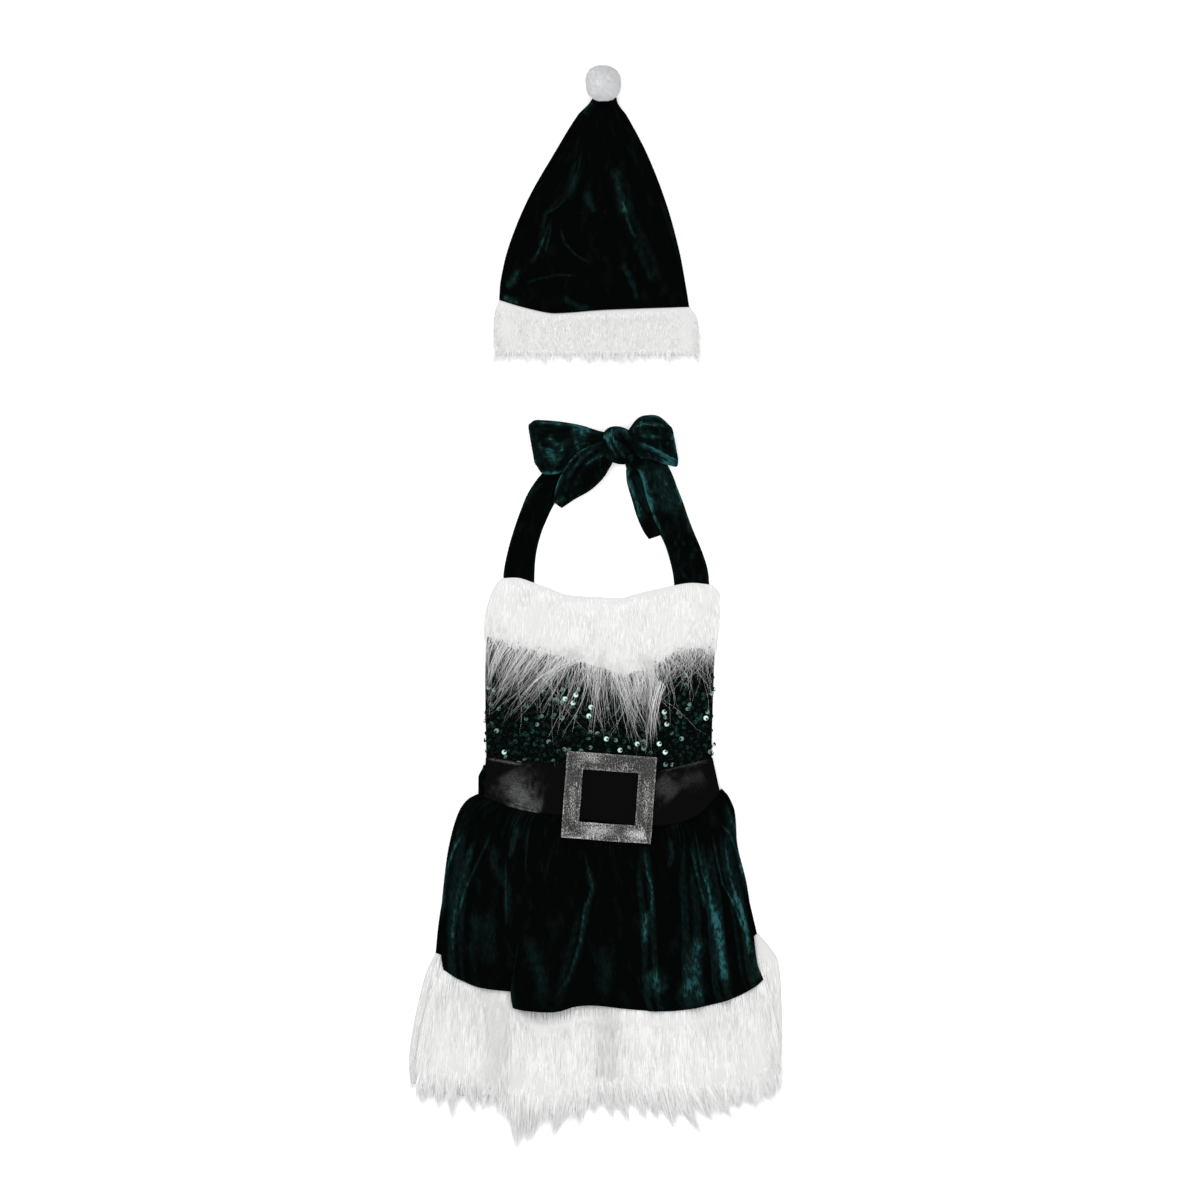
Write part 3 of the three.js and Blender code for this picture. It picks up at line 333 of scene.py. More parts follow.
def hair(roots, tips, bows, width, rings, dice, curl=0.0):
    """Points, triangles and outward ways of three-sided hairs, closed at the root and pointed at
    the tip. bows bends the middle of each hair, and curl swings it from side to side."""
    count = len(roots)
    width = np.broadcast_to(width, (count,))
    out = tips - roots
    out /= np.linalg.norm(out, axis=1, keepdims=True)
    side = np.cross(out, dice.normal(size=(count, 3)))
    side /= np.linalg.norm(side, axis=1, keepdims=True)
    up = np.cross(out, side)
    swing = dice.uniform(0, 2 * np.pi, count)[:, None]
    points = np.empty((count, 3 * rings + 1, 3))
    outward = np.empty((count, 3 * rings + 1, 3))
    for ring in range(rings):
        along = ring / rings
        middle = mix(roots, tips, along) + 4 * along * (1 - along) * bows
        middle = middle + curl * along * np.sin(9 * along + swing) * side
        half = 0.5 * width * (1 - HAIR_TAPER * along)
        for k in range(3):
            turn = 2 * np.pi * k / 3
            rim = np.cos(turn) * side + np.sin(turn) * up
            points[:, 3 * ring + k] = middle + rim * half[:, None]
            outward[:, 3 * ring + k] = rim
    points[:, -1] = tips
    outward[:, -1] = out
    one = [(0, 2, 1)]
    for ring in range(rings - 1):
        for k in range(3):
            a, b = 3 * ring + k, 3 * ring + (k + 1) % 3
            one += [(a, b, b + 3), (a, b + 3, a + 3)]
    end = 3 * rings
    one += [(end - 3 + k, end - 3 + (k + 1) % 3, end) for k in range(3)]
    faces = np.array(one)[None] + (np.arange(count) * (end + 1))[:, None, None]
    return points.reshape(-1, 3), faces.reshape(-1, 3), outward.reshape(-1, 3)


def hair_piece(name, hairs, shade, nodes=(), finish="fur_hair", ways=(0, 0, 1.0)):
    """Hairs as one piece, which shade mostly as the surface they lie on, facing its ways.
    shade is how grey each hair is at its tip, from 0 to 1: roots are whiter."""
    points, faces, outward = hairs
    rings = (len(points) // len(shade) - 1) // 3
    down = np.append(np.repeat(np.arange(rings) / rings, 3), 1)
    shade = (shade[:, None] * mix(ROOT_SHADE, 1, down)).ravel()
    ways = np.atleast_2d(ways)
    facing = HAIR_SOFT * np.repeat(ways, len(points) // len(ways), axis=0)
    facing = facing + (1 - HAIR_SOFT) * outward
    facing /= np.linalg.norm(facing, axis=1, keepdims=True)
    piece = make_piece(name, points, faces, finish_of(finish), facing=facing, shade=shade)
    if nodes:
        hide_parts(*nodes)
    return piece


class Finish:
    """A material that is built up from nodes."""

    def __init__(self, name, **constants):
        self.material = bpy.data.materials.new(name)
        self.material.use_nodes = True
        self.tree = self.material.node_tree
        self.shader = self.tree.nodes["Principled BSDF"]
        for key, value in constants.items():
            self.set(key.replace("_", " ").title().replace("Ior", "IOR"), value)

    def feed(self, socket, value):
        """Links an output to a socket, or sets the socket's value."""
        if isinstance(value, bpy.types.NodeSocket):
            self.tree.links.new(value, socket)
        else:
            socket.default_value = value

    def set(self, name, value):
        """Feeds one of the shader's own sockets."""
        self.feed(self.shader.inputs[name], value)

    def node(self, kind, inputs, **settings):
        """A new node, with its settings and inputs, and its first output."""
        made = self.tree.nodes.new("ShaderNode" + kind)
        for key, value in settings.items():
            setattr(made, key, value)
        for key, value in inputs.items():
            self.feed(made.inputs[key], value)
        return made.outputs[0]

    def cloth(self, along=1.0, across=1.0):
        """The cloth's own coordinates in metres, stretched across and along."""
        uv = self.node("UVMap", {}, uv_map="cloth")
        return self.node("Mapping", {"Vector": uv, "Scale": (across, along, 1)})

    def place(self, x=1.0, y=1.0, z=1.0):
        """Coordinates on the object in metres, stretched."""
        made = self.tree.nodes.new("ShaderNodeTexCoord")
        return self.node("Mapping", {"Vector": made.outputs["Object"], "Scale": (x, y, z)})

    def noise(self, vector, scale, detail=2.0, rough=0.5):
        """Noise from 0 to 1, with scale waves to the metre."""
        inputs = {"Vector": vector, "Scale": scale, "Detail": detail, "Roughness": rough}
        return self.node("TexNoise", inputs)

    def attribute(self, name):
        """A value kept on the mesh."""
        made = self.tree.nodes.new("ShaderNodeAttribute")
        made.attribute_name = name
        return made.outputs["Fac"]

    def math(self, operation, a, b=0.0):
        """One sum on two values."""
        return self.node("Math", {0: a, 1: b}, operation=operation)

    def spread(self, value, low, high, to_low=0.0, to_high=1.0):
        """The value, spread from one range to another and held at its ends."""
        inputs = {"Value": value, "From Min": low, "From Max": high}
        inputs.update({"To Min": to_low, "To Max": to_high})
        return self.node("MapRange", inputs)

    def ramp(self, value, *stops):
        """A colour for each value: stops are pairs of place and colour."""
        made = self.tree.nodes.new("ShaderNodeValToRGB")
        stretch = made.color_ramp.elements
        while len(stretch) < len(stops):
            stretch.new(0.5)
        for element, (where, colour) in zip(stretch, stops):
            element.position = where
            element.color = (*colour, 1)
        self.feed(made.inputs["Fac"], value)
        return made.outputs["Color"]

    def bump(self, height, strength, depth, below=None):
        """A bump of a depth in metres, on top of another if one is given."""
        inputs = {"Height": height, "Strength": strength, "Distance": depth}
        if below is not None:
            inputs["Normal"] = below
        return self.node("Bump", inputs)


def velvet_finish():
    """Crushed pile velvet: near black, with painted teal sheen along folds and streaks, and faint
    crushed patches.
    """
    looks = bpy.context.scene.costume_velvet
    made = Finish(
        "crushed_velvet", roughness=0.8, sheen_weight=0.22, sheen_roughness=0.24, specular_ior_level=0.0
    )
    made.set("Sheen Tint", (*looks.sheen, 1))
    pile = made.noise(made.cloth(0.55), 1500.0, 2.0, 0.6)
    crush = made.noise(made.cloth(0.4), 85.0, 4.0, 0.62)
    brushed = made.noise(made.cloth(0.3), 420.0, 2.0, 0.6)
    # Painted sheen and crushed patches from the mesh, made uneven by the brushed pile
    lean = made.math("MULTIPLY", made.attribute("nap"), made.spread(brushed, 0.32, 0.68, 0.42, 1.45))
    faint = made.spread(crush, 0.5, 0.8, 0.0, 0.16)
    speck = made.spread(pile, 0.35, 0.75, -0.06, 0.07)
    total = made.math("ADD", made.math("ADD", lean, faint), speck)
    stops = ((0.02, looks.dark), (0.42, looks.teal), (1.0, looks.bright))
    made.set("Base Color", made.ramp(total, *stops))
    soft = made.bump(crush, 0.35, 0.0012)
    made.set("Normal", made.bump(pile, 0.3, 0.0004, soft))
    return made.material


def sequin_cloth_finish():
    """The plain dark cloth under the sequins: a fine knit."""
    made = Finish("sequin_ground", roughness=0.9, specular_ior_level=0.0)
    knit = made.noise(made.cloth(1.6), 1100.0, 1.0)
    stops = ((0.3, (0.0008, 0.0015, 0.0014)), (0.75, (0.002, 0.005, 0.0045)))
    made.set("Base Color", made.ramp(knit, *stops))
    made.set("Normal", made.bump(knit, 0.4, 0.0004))
    return made.material


def sequin_finish():
    """Thin glossy discs of dark green film, with painted glints, brightest on the few turned to the
    light.
    """
    looks = bpy.context.scene.costume_sequins
    made = Finish("sequin_film", roughness=0.3, specular_ior_level=0.06)
    stops = ((0.0, looks.dark), (0.35, looks.green), (1.0, looks.bright))
    made.set("Base Color", made.ramp(made.attribute("flash"), *stops))
    return made.material


def fur_finish(name, white):
    """White imitation fur: each hair a little more or less grey."""
    looks = bpy.context.scene.costume_fur
    made = Finish(name, roughness=0.85, specular_ior_level=0.1)
    soft = made.noise(made.place(1.0, 0.35, 1.0), 90.0, 2.0)
    grey = made.math("ADD", made.attribute("shade"), made.spread(soft, 0.3, 0.7, -0.06, 0.06))
    made.set("Base Color", made.ramp(grey, (0.0, getattr(looks, white)), (1.0, looks.grey)))
    return made.material


def fleece_finish():
    """The dense ground of the fur, brushed down."""
    looks = bpy.context.scene.costume_fur
    made = Finish("fur_ground", roughness=0.9, specular_ior_level=0.1)
    brushed = made.noise(made.cloth(0.05), 620.0, 3.0, 0.6)
    broad = made.noise(made.cloth(0.2), 42.0, 2.0)
    combed = made.spread(brushed, 0.35, 0.8, 0.0, 0.16)
    grey = made.math("ADD", combed, made.spread(broad, 0.4, 0.8, 0.0, 0.14))
    grey = made.math("ADD", grey, made.attribute("shade"))
    made.set("Base Color", made.ramp(grey, (0.1, looks.ground), (1.0, looks.grey)))
    made.set("Normal", made.bump(brushed, 0.2, 0.0006))
    return made.material


def leatherette_finish():
    """Thin black leatherette: a satin sheen, fine grain and lighter stretches of painted sheen."""
    looks = bpy.context.scene.costume_belt
    made = Finish("worn_leatherette", roughness=0.4, specular_ior_level=0.02)
    grain = made.noise(made.cloth(1.6), 640.0, 3.0, 0.75)
    wrinkle = made.noise(made.cloth(1.0, 2.2), 70.0, 3.0, 0.6)
    cloudy = made.noise(made.cloth(1.3, 0.6), 330.0, 7.0, 0.78)
    # Painted sheen from the mesh, made cloudy and speckled
    worn = made.math("MULTIPLY", made.attribute("worn"), made.spread(cloudy, 0.32, 0.7, 0.25, 1.35))
    speckled = made.math("MULTIPLY", worn, made.spread(grain, 0.38, 0.66, 0.15, 2.0))
    made.set("Base Color", made.ramp(speckled, (0.0, looks.black), (1.0, looks.worn)))
    made.set("Roughness", made.spread(cloudy, 0.2, 0.8, 0.34, 0.52))
    made.set("Normal", made.bump(grain, 0.25, 0.0003, made.bump(wrinkle, 0.5, 0.002)))
    return made.material


def foil_finish():
    """Dull silver foil: dappled, cracked and rubbed dark in places, with painted highlights at its
    edges and where it shines.
    """
    looks = bpy.context.scene.costume_buckle
    made = Finish("silver_foil", metallic=0.7, specular_ior_level=0.3)
    dapple = made.noise(made.place(), 420.0, 6.0, 0.8)
    streak = made.noise(made.place(5.0, 0.3, 1.0), 420.0, 6.0, 0.8)
    crack = made.noise(made.place(1.6, 0.14, 1.0), 420.0, 2.0, 0.5)
    grain = made.spread(made.noise(made.place(1.5, 0.6, 1.0), 900.0, 2.0, 0.6), 0.38, 0.62, -0.1, 0.34)
    light = made.math("ADD", made.math("MULTIPLY", dapple, 0.3), made.math("MULTIPLY", streak, 0.36))
    light = made.math("ADD", light, grain)
    lines = made.spread(crack, 0.62, 0.68, 0.0, 0.2)
    # Painted highlights from the mesh lift the foil towards its bright colour
    total = made.math("ADD", made.math("ADD", light, lines), made.attribute("edge"))
    stops = ((0.30, looks.dark), (0.58, looks.silver), (0.98, looks.bright))
    made.set("Base Color", made.ramp(total, *stops))
    made.set("Roughness", made.spread(dapple, 0.3, 0.7, 0.52, 0.36))
    made.set("Normal", made.bump(crack, 0.3, 0.0005, made.bump(dapple, 0.35, 0.0008)))
    return made.material


MAKERS = {
    "crushed_velvet": velvet_finish,
    "sequin_ground": sequin_cloth_finish,
    "sequin_film": sequin_finish,
    "fur_hair": lambda: fur_finish("fur_hair", "white"),
    "pompom_pile": lambda: fur_finish("pompom_pile", "pompom"),
    "fur_ground": fleece_finish,
    "worn_leatherette": leatherette_finish,
    "silver_foil": foil_finish,
}


def finish_of(name):
    """The material of this name, made when it is first asked for."""
    return bpy.data.materials.get(name) or MAKERS[name]()


def pile_lean(wall, rows=(), slope=0.3, crushed=0.0, size=9.0):
    """Painted sheen on steep flanks and along streaks, where light would catch the pile, and lighter
    crushed patches of a size in millimetres."""
    x, y = wall.points[:, 0], wall.points[:, 1]
    flank = smooth(0.12, 0.62, np.abs(wall.normals[:, 0]))
    patch = smooth(0.1, 0.8, ripple(x / size, y / (1.6 * size), 5.0))
    fine = 0.5 + 0.5 * ripple(x / 2.4, y / 4.0, 17.0)
    return slope * flank * (0.5 + 0.5 * fine) + crushed * patch * fine + streaks(x, y, rows)


# The most painted sheen at a tie's turned edges, and how wide they are as a share of the tie
EDGE_LEAN, EDGE_SHARE = 0.34, 0.09


def edge_lean(wall):
    """Painted sheen where a tie is turned over at its edges, uneven along it."""
    uneven = 0.55 + 0.45 * ripple(20 * wall.t, 5 * wall.s, 3.0)
    return EDGE_LEAN * uneven * smooth(EDGE_SHARE, 0.0, 0.5 - np.abs(wall.s - 0.5))


# The seam at the waist, where the front of the skirt is gathered to the bodice under the belt: x, y
WAIST_SEAM = (
    (-141, -122), (-94, -138), (-46, -145), (0, -151), (65, -156), (99, -152), (121, -142), (146, -118),
)
waist_seam = curve(WAIST_SEAM)

def velvet_piece(name, node, wall, lean):
    """A velvet wall as a piece that stands for a CAD node. lean is its painted sheen and crushed
    patches.
    """
    velvet = finish_of("crushed_velvet")
    return cloth_piece(name + "_velvet", wall, velvet, "velvet", [node], nap=lean)


def fleece_piece(name, node, wall, shade):
    """The ground of a fur as a piece that stands for a CAD node. shade is how grey it is."""
    shade = np.broadcast_to(shade, wall.s.shape)
    return cloth_piece(name + "_fleece", wall, finish_of("fur_ground"), "fur", [node], shade=shade)


# Back waistband, a casing shirred on elastic: its edges, ribs and rows of stitching, and how far its
# upper left corner is drawn in, which is twice as far as the right one
BAND_LEFT, BAND_RIGHT, BAND_TOP, BAND_BOTTOM = -146, 140, -90, -128
BAND_RIBS = 16
BAND_RIB_DEEP = 0.8
BAND_STITCH_ROWS = 4
BAND_CORNER = 6
WAISTBAND_MESH = 9 * BAND_RIBS, 18


def waistband():
    """The shirred casing across the back, with its rows of stitching drawn in."""

    def rib(s):
        return 0.5 - 0.5 * np.cos(2 * np.pi * BAND_RIBS * s)

    def under(s, t):
        hollow = BAND_RIB_DEEP * smooth(0.6, 1, rib(s))
        drawn_in = (BAND_CORNER * (1 - s) - 0.5 * BAND_CORNER * s) * smooth(0.4, 0, t)
        return xyz(mix(BAND_LEFT, BAND_RIGHT, s) + drawn_in, mix(BAND_TOP, BAND_BOTTOM, t), hollow)

    def thick(s, t):
        rows = 0.35 * (0.5 + 0.5 * np.cos(2 * np.pi * BAND_STITCH_ROWS * t))
        pinch = 0.3 * ripple(90 * s, 5 * t, 3.0)
        ribbed = ELASTIC - 2 * BAND_RIB_DEEP * smooth(0.6, 1, rib(s)) - 0.4 * rib(s)
        return ribbed - rows * rib(s) + 0.2 * pinch

    wall = Wall(under, thick, *WAISTBAND_MESH)
    # Painted sheen on the flanks of the ribs, and crushed patches
    piece = velvet_piece("waistband", "back_waistband", wall, pile_lean(wall, (), 0.9, 0.5, 5.0))


# Skirt back: down, left, right; then x, y of its hem
BACK_SIDES = (
    (0, -141, 136), (0.05, -151, 147), (0.12, -163, 155), (0.3, -176, 160),
    (0.5, -184, 170), (0.75, -193, 180), (1, -198, 190),
)
BACK_HEM = ((-198, -323), (-150, -340), (-80, -350), (0, -352), (80, -348), (150, -330), (190, -299))
# Folds: where each starts at the waist and ends at the hem, across the panel, its half widths on
# the left and right, its height and how far down it begins
BACK_FOLDS = (
    (0.16, 0.13, 0.05, 0.05, 3, 0.15),
    (0.34, 0.31, 0.06, 0.04, 3.4, 0.25),
    (0.55, 0.54, 0.04, 0.05, 2.8, 0.1),
    (0.7, 0.74, 0.04, 0.06, 3.4, 0.3),
    (0.86, 0.9, 0.04, 0.04, 2.6, 0.2),
)
# The share of the way down in which a fold grows to its height
FOLD_GROWS = 0.35
# Gathers at the waist: count, high, reach; and the pleats between them: count, high
BACK_GATHERS, FRONT_GATHERS = (14, 2.2, 0.3), (20, 2, 0.26)
BACK_PLEATS, FRONT_PLEATS = (52, 0.5), (74, 1.1)
# Faces across and along, and how much they crowd to the top edge
BACK_MESH, FRONT_MESH = (150, 54, 1.2), (318, 105, 1.2)
back_hem = curve(BACK_HEM)
back_plan = plan(BACK_SIDES, lambda x: BAND_BOTTOM - 2.5 * GAP, back_hem)


def fold_height(folds, s, t):
    """The height of the folds that run down a skirt."""
    height = np.zeros(np.broadcast(s, t).shape)
    for waist, hem, left, right, high, start in folds:
        off = s - mix(waist, hem, t)
        share = np.clip(off / np.where(off < 0, left, right), -1, 1)
        bell = 0.5 + 0.5 * np.cos(np.pi * share)
        height = height + high * smooth(start, start + FOLD_GROWS, t) * bell
    return height


def wander(u):
    """Uneven spacing across a gathered edge."""
    return u + u * (1 - u) * (0.03 * np.sin(17 * u) + 0.02 * np.sin(41 * u + 1))


def gather_height(count, high, reach, u, t):
    """The gathers at a waist: each one runs down a different way."""
    wave = 0.5 - 0.5 * np.cos(2 * np.pi * count * u)
    down = reach * (0.6 + 0.8 * chance(np.floor(count * u) + count))
    return high * wave * np.exp(-((t / down) ** 2))


def small_pleats(count, high, u, t):
    """Fine pleats between the gathers, each with its own height and reach."""
    nth = np.floor(count * u)
    wave = (0.5 - 0.5 * np.cos(2 * np.pi * count * u)) ** 2
    reach = 0.05 + 0.2 * chance(nth + 5) ** 2
    return high * wave * (0.3 + 0.7 * chance(nth + 91)) * np.exp(-((t / reach) ** 2))


def skirt_back():
    """The back of the skirt."""

    def under(u, t):
        s = wander(u)
        x, y = back_plan(s, t)
        flat = 1 - smooth(0.55, 0.8, t)
        waves = fold_height(BACK_FOLDS, s, t) * flat + gather_height(*BACK_GATHERS, u, t)
        waves = waves + small_pleats(*BACK_PLEATS, u, t) + 0.25 * (1 + ripple(9 * s, 3 * t, 2.0)) * flat
        return xyz(x, y, waves * inside(s, 0.08))

    wall = Wall(under, lambda s, t: VELVET, *BACK_MESH)
    # Painted sheen on the flanks of the folds, and faint crushed patches
    piece = velvet_piece("skirt_back", "skirt_back", wall, pile_lean(wall, (), 0.35, 0.12))


# Skirt front: down, left, right; then x, y of its hem, and its folds as for the back
FRONT_SIDES = (
    (0, -141, 146), (0.04, -158, 154), (0.12, -170, 161.5), (0.3, -181, 165),
    (0.5, -187, 176), (0.75, -191.5, 184), (0.92, -190.5, 189), (1, -188, 196),
)
FRONT_HEM = (
    (-188, -335), (-168, -347), (-149, -355), (-122, -361), (-108, -363), (-84, -378),
    (-68, -384), (-50, -385), (-30, -379), (-5, -378), (30, -382), (80, -385),
    (120, -380), (160, -369), (187, -355), (196, -347),
)
FRONT_FOLDS = (
    (0.06, 0.045, 0.03, 0.03, 3.5, 0.02),
    (0.13, 0.13, 0.05, 0.05, 4.5, 0.3),
    (0.53, 0.325, 0.08, 0.06, 6.5, 0.25),
    (0.68, 0.665, 0.03, 0.03, 5, 0.06),
    (0.84, 0.79, 0.035, 0.035, 6, 0.08),
    (0.9, 0.88, 0.025, 0.03, 7.5, 0.02),
    (0.955, 0.965, 0.02, 0.025, 5, 0.02),
)
# How high the front lies, at its side edges and inside them: down, edge, inside
FRONT_LEVELS = (
    (0, 3.6, 5), (0.14, 2.2, 6.2), (0.35, 1.9, 7), (0.62, 1.9, 7.6), (0.78, 5.8, 9.4), (1, 5.8, 10.6),
)
# The big fold at the hem: the cloth doubles back under itself, and what is right of it lies on top.
DOUBLED_AT, DOUBLED_HALF, DOUBLED_PUSH, DOUBLED_HIGH, DOUBLED_START = 0.249, 0.04, 24, 10, 0.5
front_hem = curve(FRONT_HEM)
front_plan = plan(FRONT_SIDES, waist_seam, front_hem)
front_edge_level = curve(FRONT_LEVELS, 1)
front_inside_level = curve(FRONT_LEVELS, 2)

# Fine creases of the front, as ridges: wide, high, path in x and y
FRONT_CREASES = (
    (6, 1.6, ((-163, -165), (-176, -190), (-186, -225), (-189, -280))),
    (6, 1.3, ((-150, -170), (-160, -205), (-169, -241), (-175, -289), (-174, -318))),
    (7, 1.1, ((-127, -170), (-128, -205), (-112, -232), (-110, -290))),
    (8, 0.9, ((-96, -175), (-100, -215), (-92, -250))),
    (6, 1.0, ((-60, -180), (-66, -215), (-58, -250))),
    (6, 1.5, (
        (-22, -180), (-12, -224), (-8, -236), (-18, -262), (-24, -301), (-35, -341), (-50, -370),
    )),
    (6, 1.4, ((50, -180), (54, -195), (58, -222), (63, -236), (63, -286))),
    (5, 1.0, ((76, -185), (80, -215), (82, -240))),
    (6, 1.5, ((104, -172), (109, -188), (114, -212), (122, -241), (127, -262))),
    (7, 1.4, (
        (120, -165), (127, -200), (131, -233), (136, -258), (142, -290), (147, -326), (150, -350),
    )),
    (6, 1.5, ((140, -150), (149, -178), (156, -233), (169, -262), (177, -292), (181, -322))),
    (9, 1.0, ((90, -290), (106, -325), (112, -362))),
    (9, 1.0, ((40, -320), (60, -345), (72, -368))),
    (12, 0.8, ((-150, -262), (-138, -295), (-134, -330))),
    (10, 0.8, ((0, -270), (12, -310), (8, -352))),
)
# Painted teal highlights on the front, where the pile would catch the light: wide, bright, path in x
# and y
FRONT_STREAKS = (
    (2.2, 0.5, ((-163, -168), (-176, -192), (-186, -222), (-190, -282))),
    (2.8, 0.34, ((-152, -180), (-160, -205), (-169, -241), (-176, -289), (-176, -322))),
    (5.0, 0.20, ((-128, -176), (-128, -210), (-110, -236), (-110, -288))),
    (12, 0.12, ((-150, -262), (-140, -297), (-128, -335))),
    (1.8, 0.48, (
        (-20, -185), (-12, -224), (-9, -238), (-18, -262), (-24, -303), (-36, -341), (-54, -372),
    )),
    (1.7, 0.6, ((52, -182), (55, -205), (57, -222), (62, -236), (62.7, -286))),
    (4.0, 0.55, ((57, -262), (55, -280), (53, -306))),
    (11, 0.40, ((58, -334), (66, -349), (76, -366))),
    (2.2, 0.48, ((108, -182), (114, -212), (122, -241), (127, -266))),
    (8.0, 0.42, ((120, -290), (114, -318), (112, -345), (104, -362))),
    (14, 0.30, ((96, -352), (112, -364), (128, -366))),
    (2.2, 0.5, ((126, -196), (130, -233), (134, -262), (140, -290))),
    (4.6, 0.78, ((134, -250), (139, -276), (144, -308), (147, -332), (150, -356))),
    (2.0, 0.5, ((147, -170), (155, -220), (160, -240), (170, -264), (177, -292))),
    (3.0, 0.62, ((158, -238), (168, -262), (176, -288), (180, -322))),
    (2.6, 0.42, ((150, -130), (161, -165), (168, -200), (180, -258))),
    (5.0, 0.42, ((184, -300), (188, -330), (192, -350))),
    (3.0, 0.30, ((84, -176), (86, -196), (83, -214))),
    (1.1, 0.5, ((112, -164), (117, -186), (122, -216), (132, -246))),
    (1.1, 0.5, ((133, -163), (139, -196), (147, -232), (160, -256), (170, -282), (185, -312))),
    (1.1, 0.45, ((139, -154), (157, -174), (167, -204), (172, -228))),
    (1.2, 0.4, ((-127, -164), (-143, -198), (-162, -240), (-172, -276))),
    (1.0, 0.35, ((-113, -196), (-113, -240), (-112, -286))),
    (1.0, 0.3, ((-84, -158), (-88, -186), (-90, -224))),
    (3.0, 0.30, ((-96, -160), (-104, -184), (-108, -204))),
    (8.0, 0.22, ((-90, -290), (-74, -330), (-66, -372))),
    (10, 0.14, ((0, -300), (8, -335), (0, -368))),
)


def doubled_at(s):
    """Where s is in the doubled fold, 0 at its edge."""
    return (s - DOUBLED_AT) / DOUBLED_HALF


def doubled_lift(q):
    """How far the doubled fold lifts what lies right of its edge."""
    return smooth(-1.6, 1.6, q) * (1 - smooth(3, 9, q))


def front_point(u, t):
    """A point of the under side of the skirt's front."""
    s = wander(u)
    x, y = front_plan(s, t)
    q = doubled_at(s)
    grown = smooth(DOUBLED_START, 1, t)
    push = -DOUBLED_PUSH * grown * q * np.exp(0.5 - q * q / 2)
    level = mix(front_edge_level(t), front_inside_level(t), inside(s, 0.06))
    folds = fold_height(FRONT_FOLDS, s, t) + gather_height(*FRONT_GATHERS, u, t)
    fine = ridges(x, y, FRONT_CREASES) + small_pleats(*FRONT_PLEATS, u, t)
    drift = 0.35 * (1 + ripple(11 * s + 2 * t, 4 * t, 4.0)) * smooth(0, 0.2, t)
    z = level + (folds + fine + drift) * inside(s, 0.06) + DOUBLED_HIGH * grown * doubled_lift(q)
    return xyz(x + push, y, z)


def skirt_front():
    """The front of the skirt, with its gathers, folds and creases."""
    wall = Wall(front_point, lambda s, t: VELVET, *FRONT_MESH)
    # Painted sheen on the flanks and along the streaks, calmer near the waist, with painted highlights
    # on the tops of the gathers
    lean = pile_lean(wall, FRONT_STREAKS, 0.3, 0.05, 11.0)
    top = smooth(0.28, 0.02, wall.t)
    calm = 1 - 0.75 * top * smooth(-0.2, 0.5, ripple(9 * wall.s, 2 * wall.t, 4.0))
    gathered = top * smooth(0.3, 0.9, ripple(43 * wall.s + 2 * wall.t, 4 * wall.t, 9.0))
    piece = velvet_piece("skirt_front", "skirt_front", wall, lean * calm + 0.14 * gathered)


# Long fur at the hem, back and front: down, left, right; then x, y of the lower edge
BACK_FUR_SIDES = (
    (0, -197, 189), (0.06, -202, 199), (0.18, -210, 213),
    (0.5, -222, 218), (0.8, -229, 218), (1, -228, 215),
)
BACK_FUR_LOW = (
    (-228, -468), (-180, -482), (-100, -488), (0, -484), (100, -482), (180, -480), (215, -466),
)
BACK_FUR_DEEP = ((0, 1.5), (0.1, 1.8), (0.25, 5), (0.5, 6.2), (0.8, 5), (1, 2.2))
FRONT_FUR_SIDES = (
    (0, -187, 193), (0.12, -193, 199), (0.4, -209, 210), (0.75, -219, 214), (1, -221, 212),
)
FRONT_FUR_LOW = (
    (-221, -462), (-190, -474), (-150, -478), (-110, -496), (-78, -504), (-40, -497),
    (10, -484), (70, -490), (130, -489), (180, -480), (212, -466),
)
# How deep the front fur is and how high it lies: down, deep, level; then how far the furs are tucked
# under the skirt, and how high the front one lies at its sides
FRONT_FUR_DEEP = ((0, 1.8, 7), (0.08, 2.2, 7), (0.22, 7, 7), (0.5, 9.5, 7), (0.8, 7.5, 6), (1, 3, 3.4))
FUR_TUCK_BACK, FUR_TUCK_FRONT = 8, 10
FUR_EDGE_LEVEL = 3.6
# Painted shade in the soft grey hollows of the front fur: wide, dark, path
HEM_HOLLOWS = (
    (17, 0.6, ((-136, -345), (-128, -395), (-126, -440), (-128, -490))),
    (6, 0.4, ((-112, -366), (-112, -430), (-113, -492))),
    (17, 0.74, ((16, -366), (12, -410), (12, -450), (10, -500))),
    (5, 0.30, ((2, -376), (-2, -420), (-2, -470))),
    (9, 0.22, ((134, -380), (138, -410), (140, -440))),
    (7, 0.16, ((-164, -350), (-172, -400), (-176, -450))),
    (7, 0.14, ((80, -382), (84, -420), (82, -460))),
    (10, 0.16, ((-40, -400), (-44, -440), (-40, -490))),
)
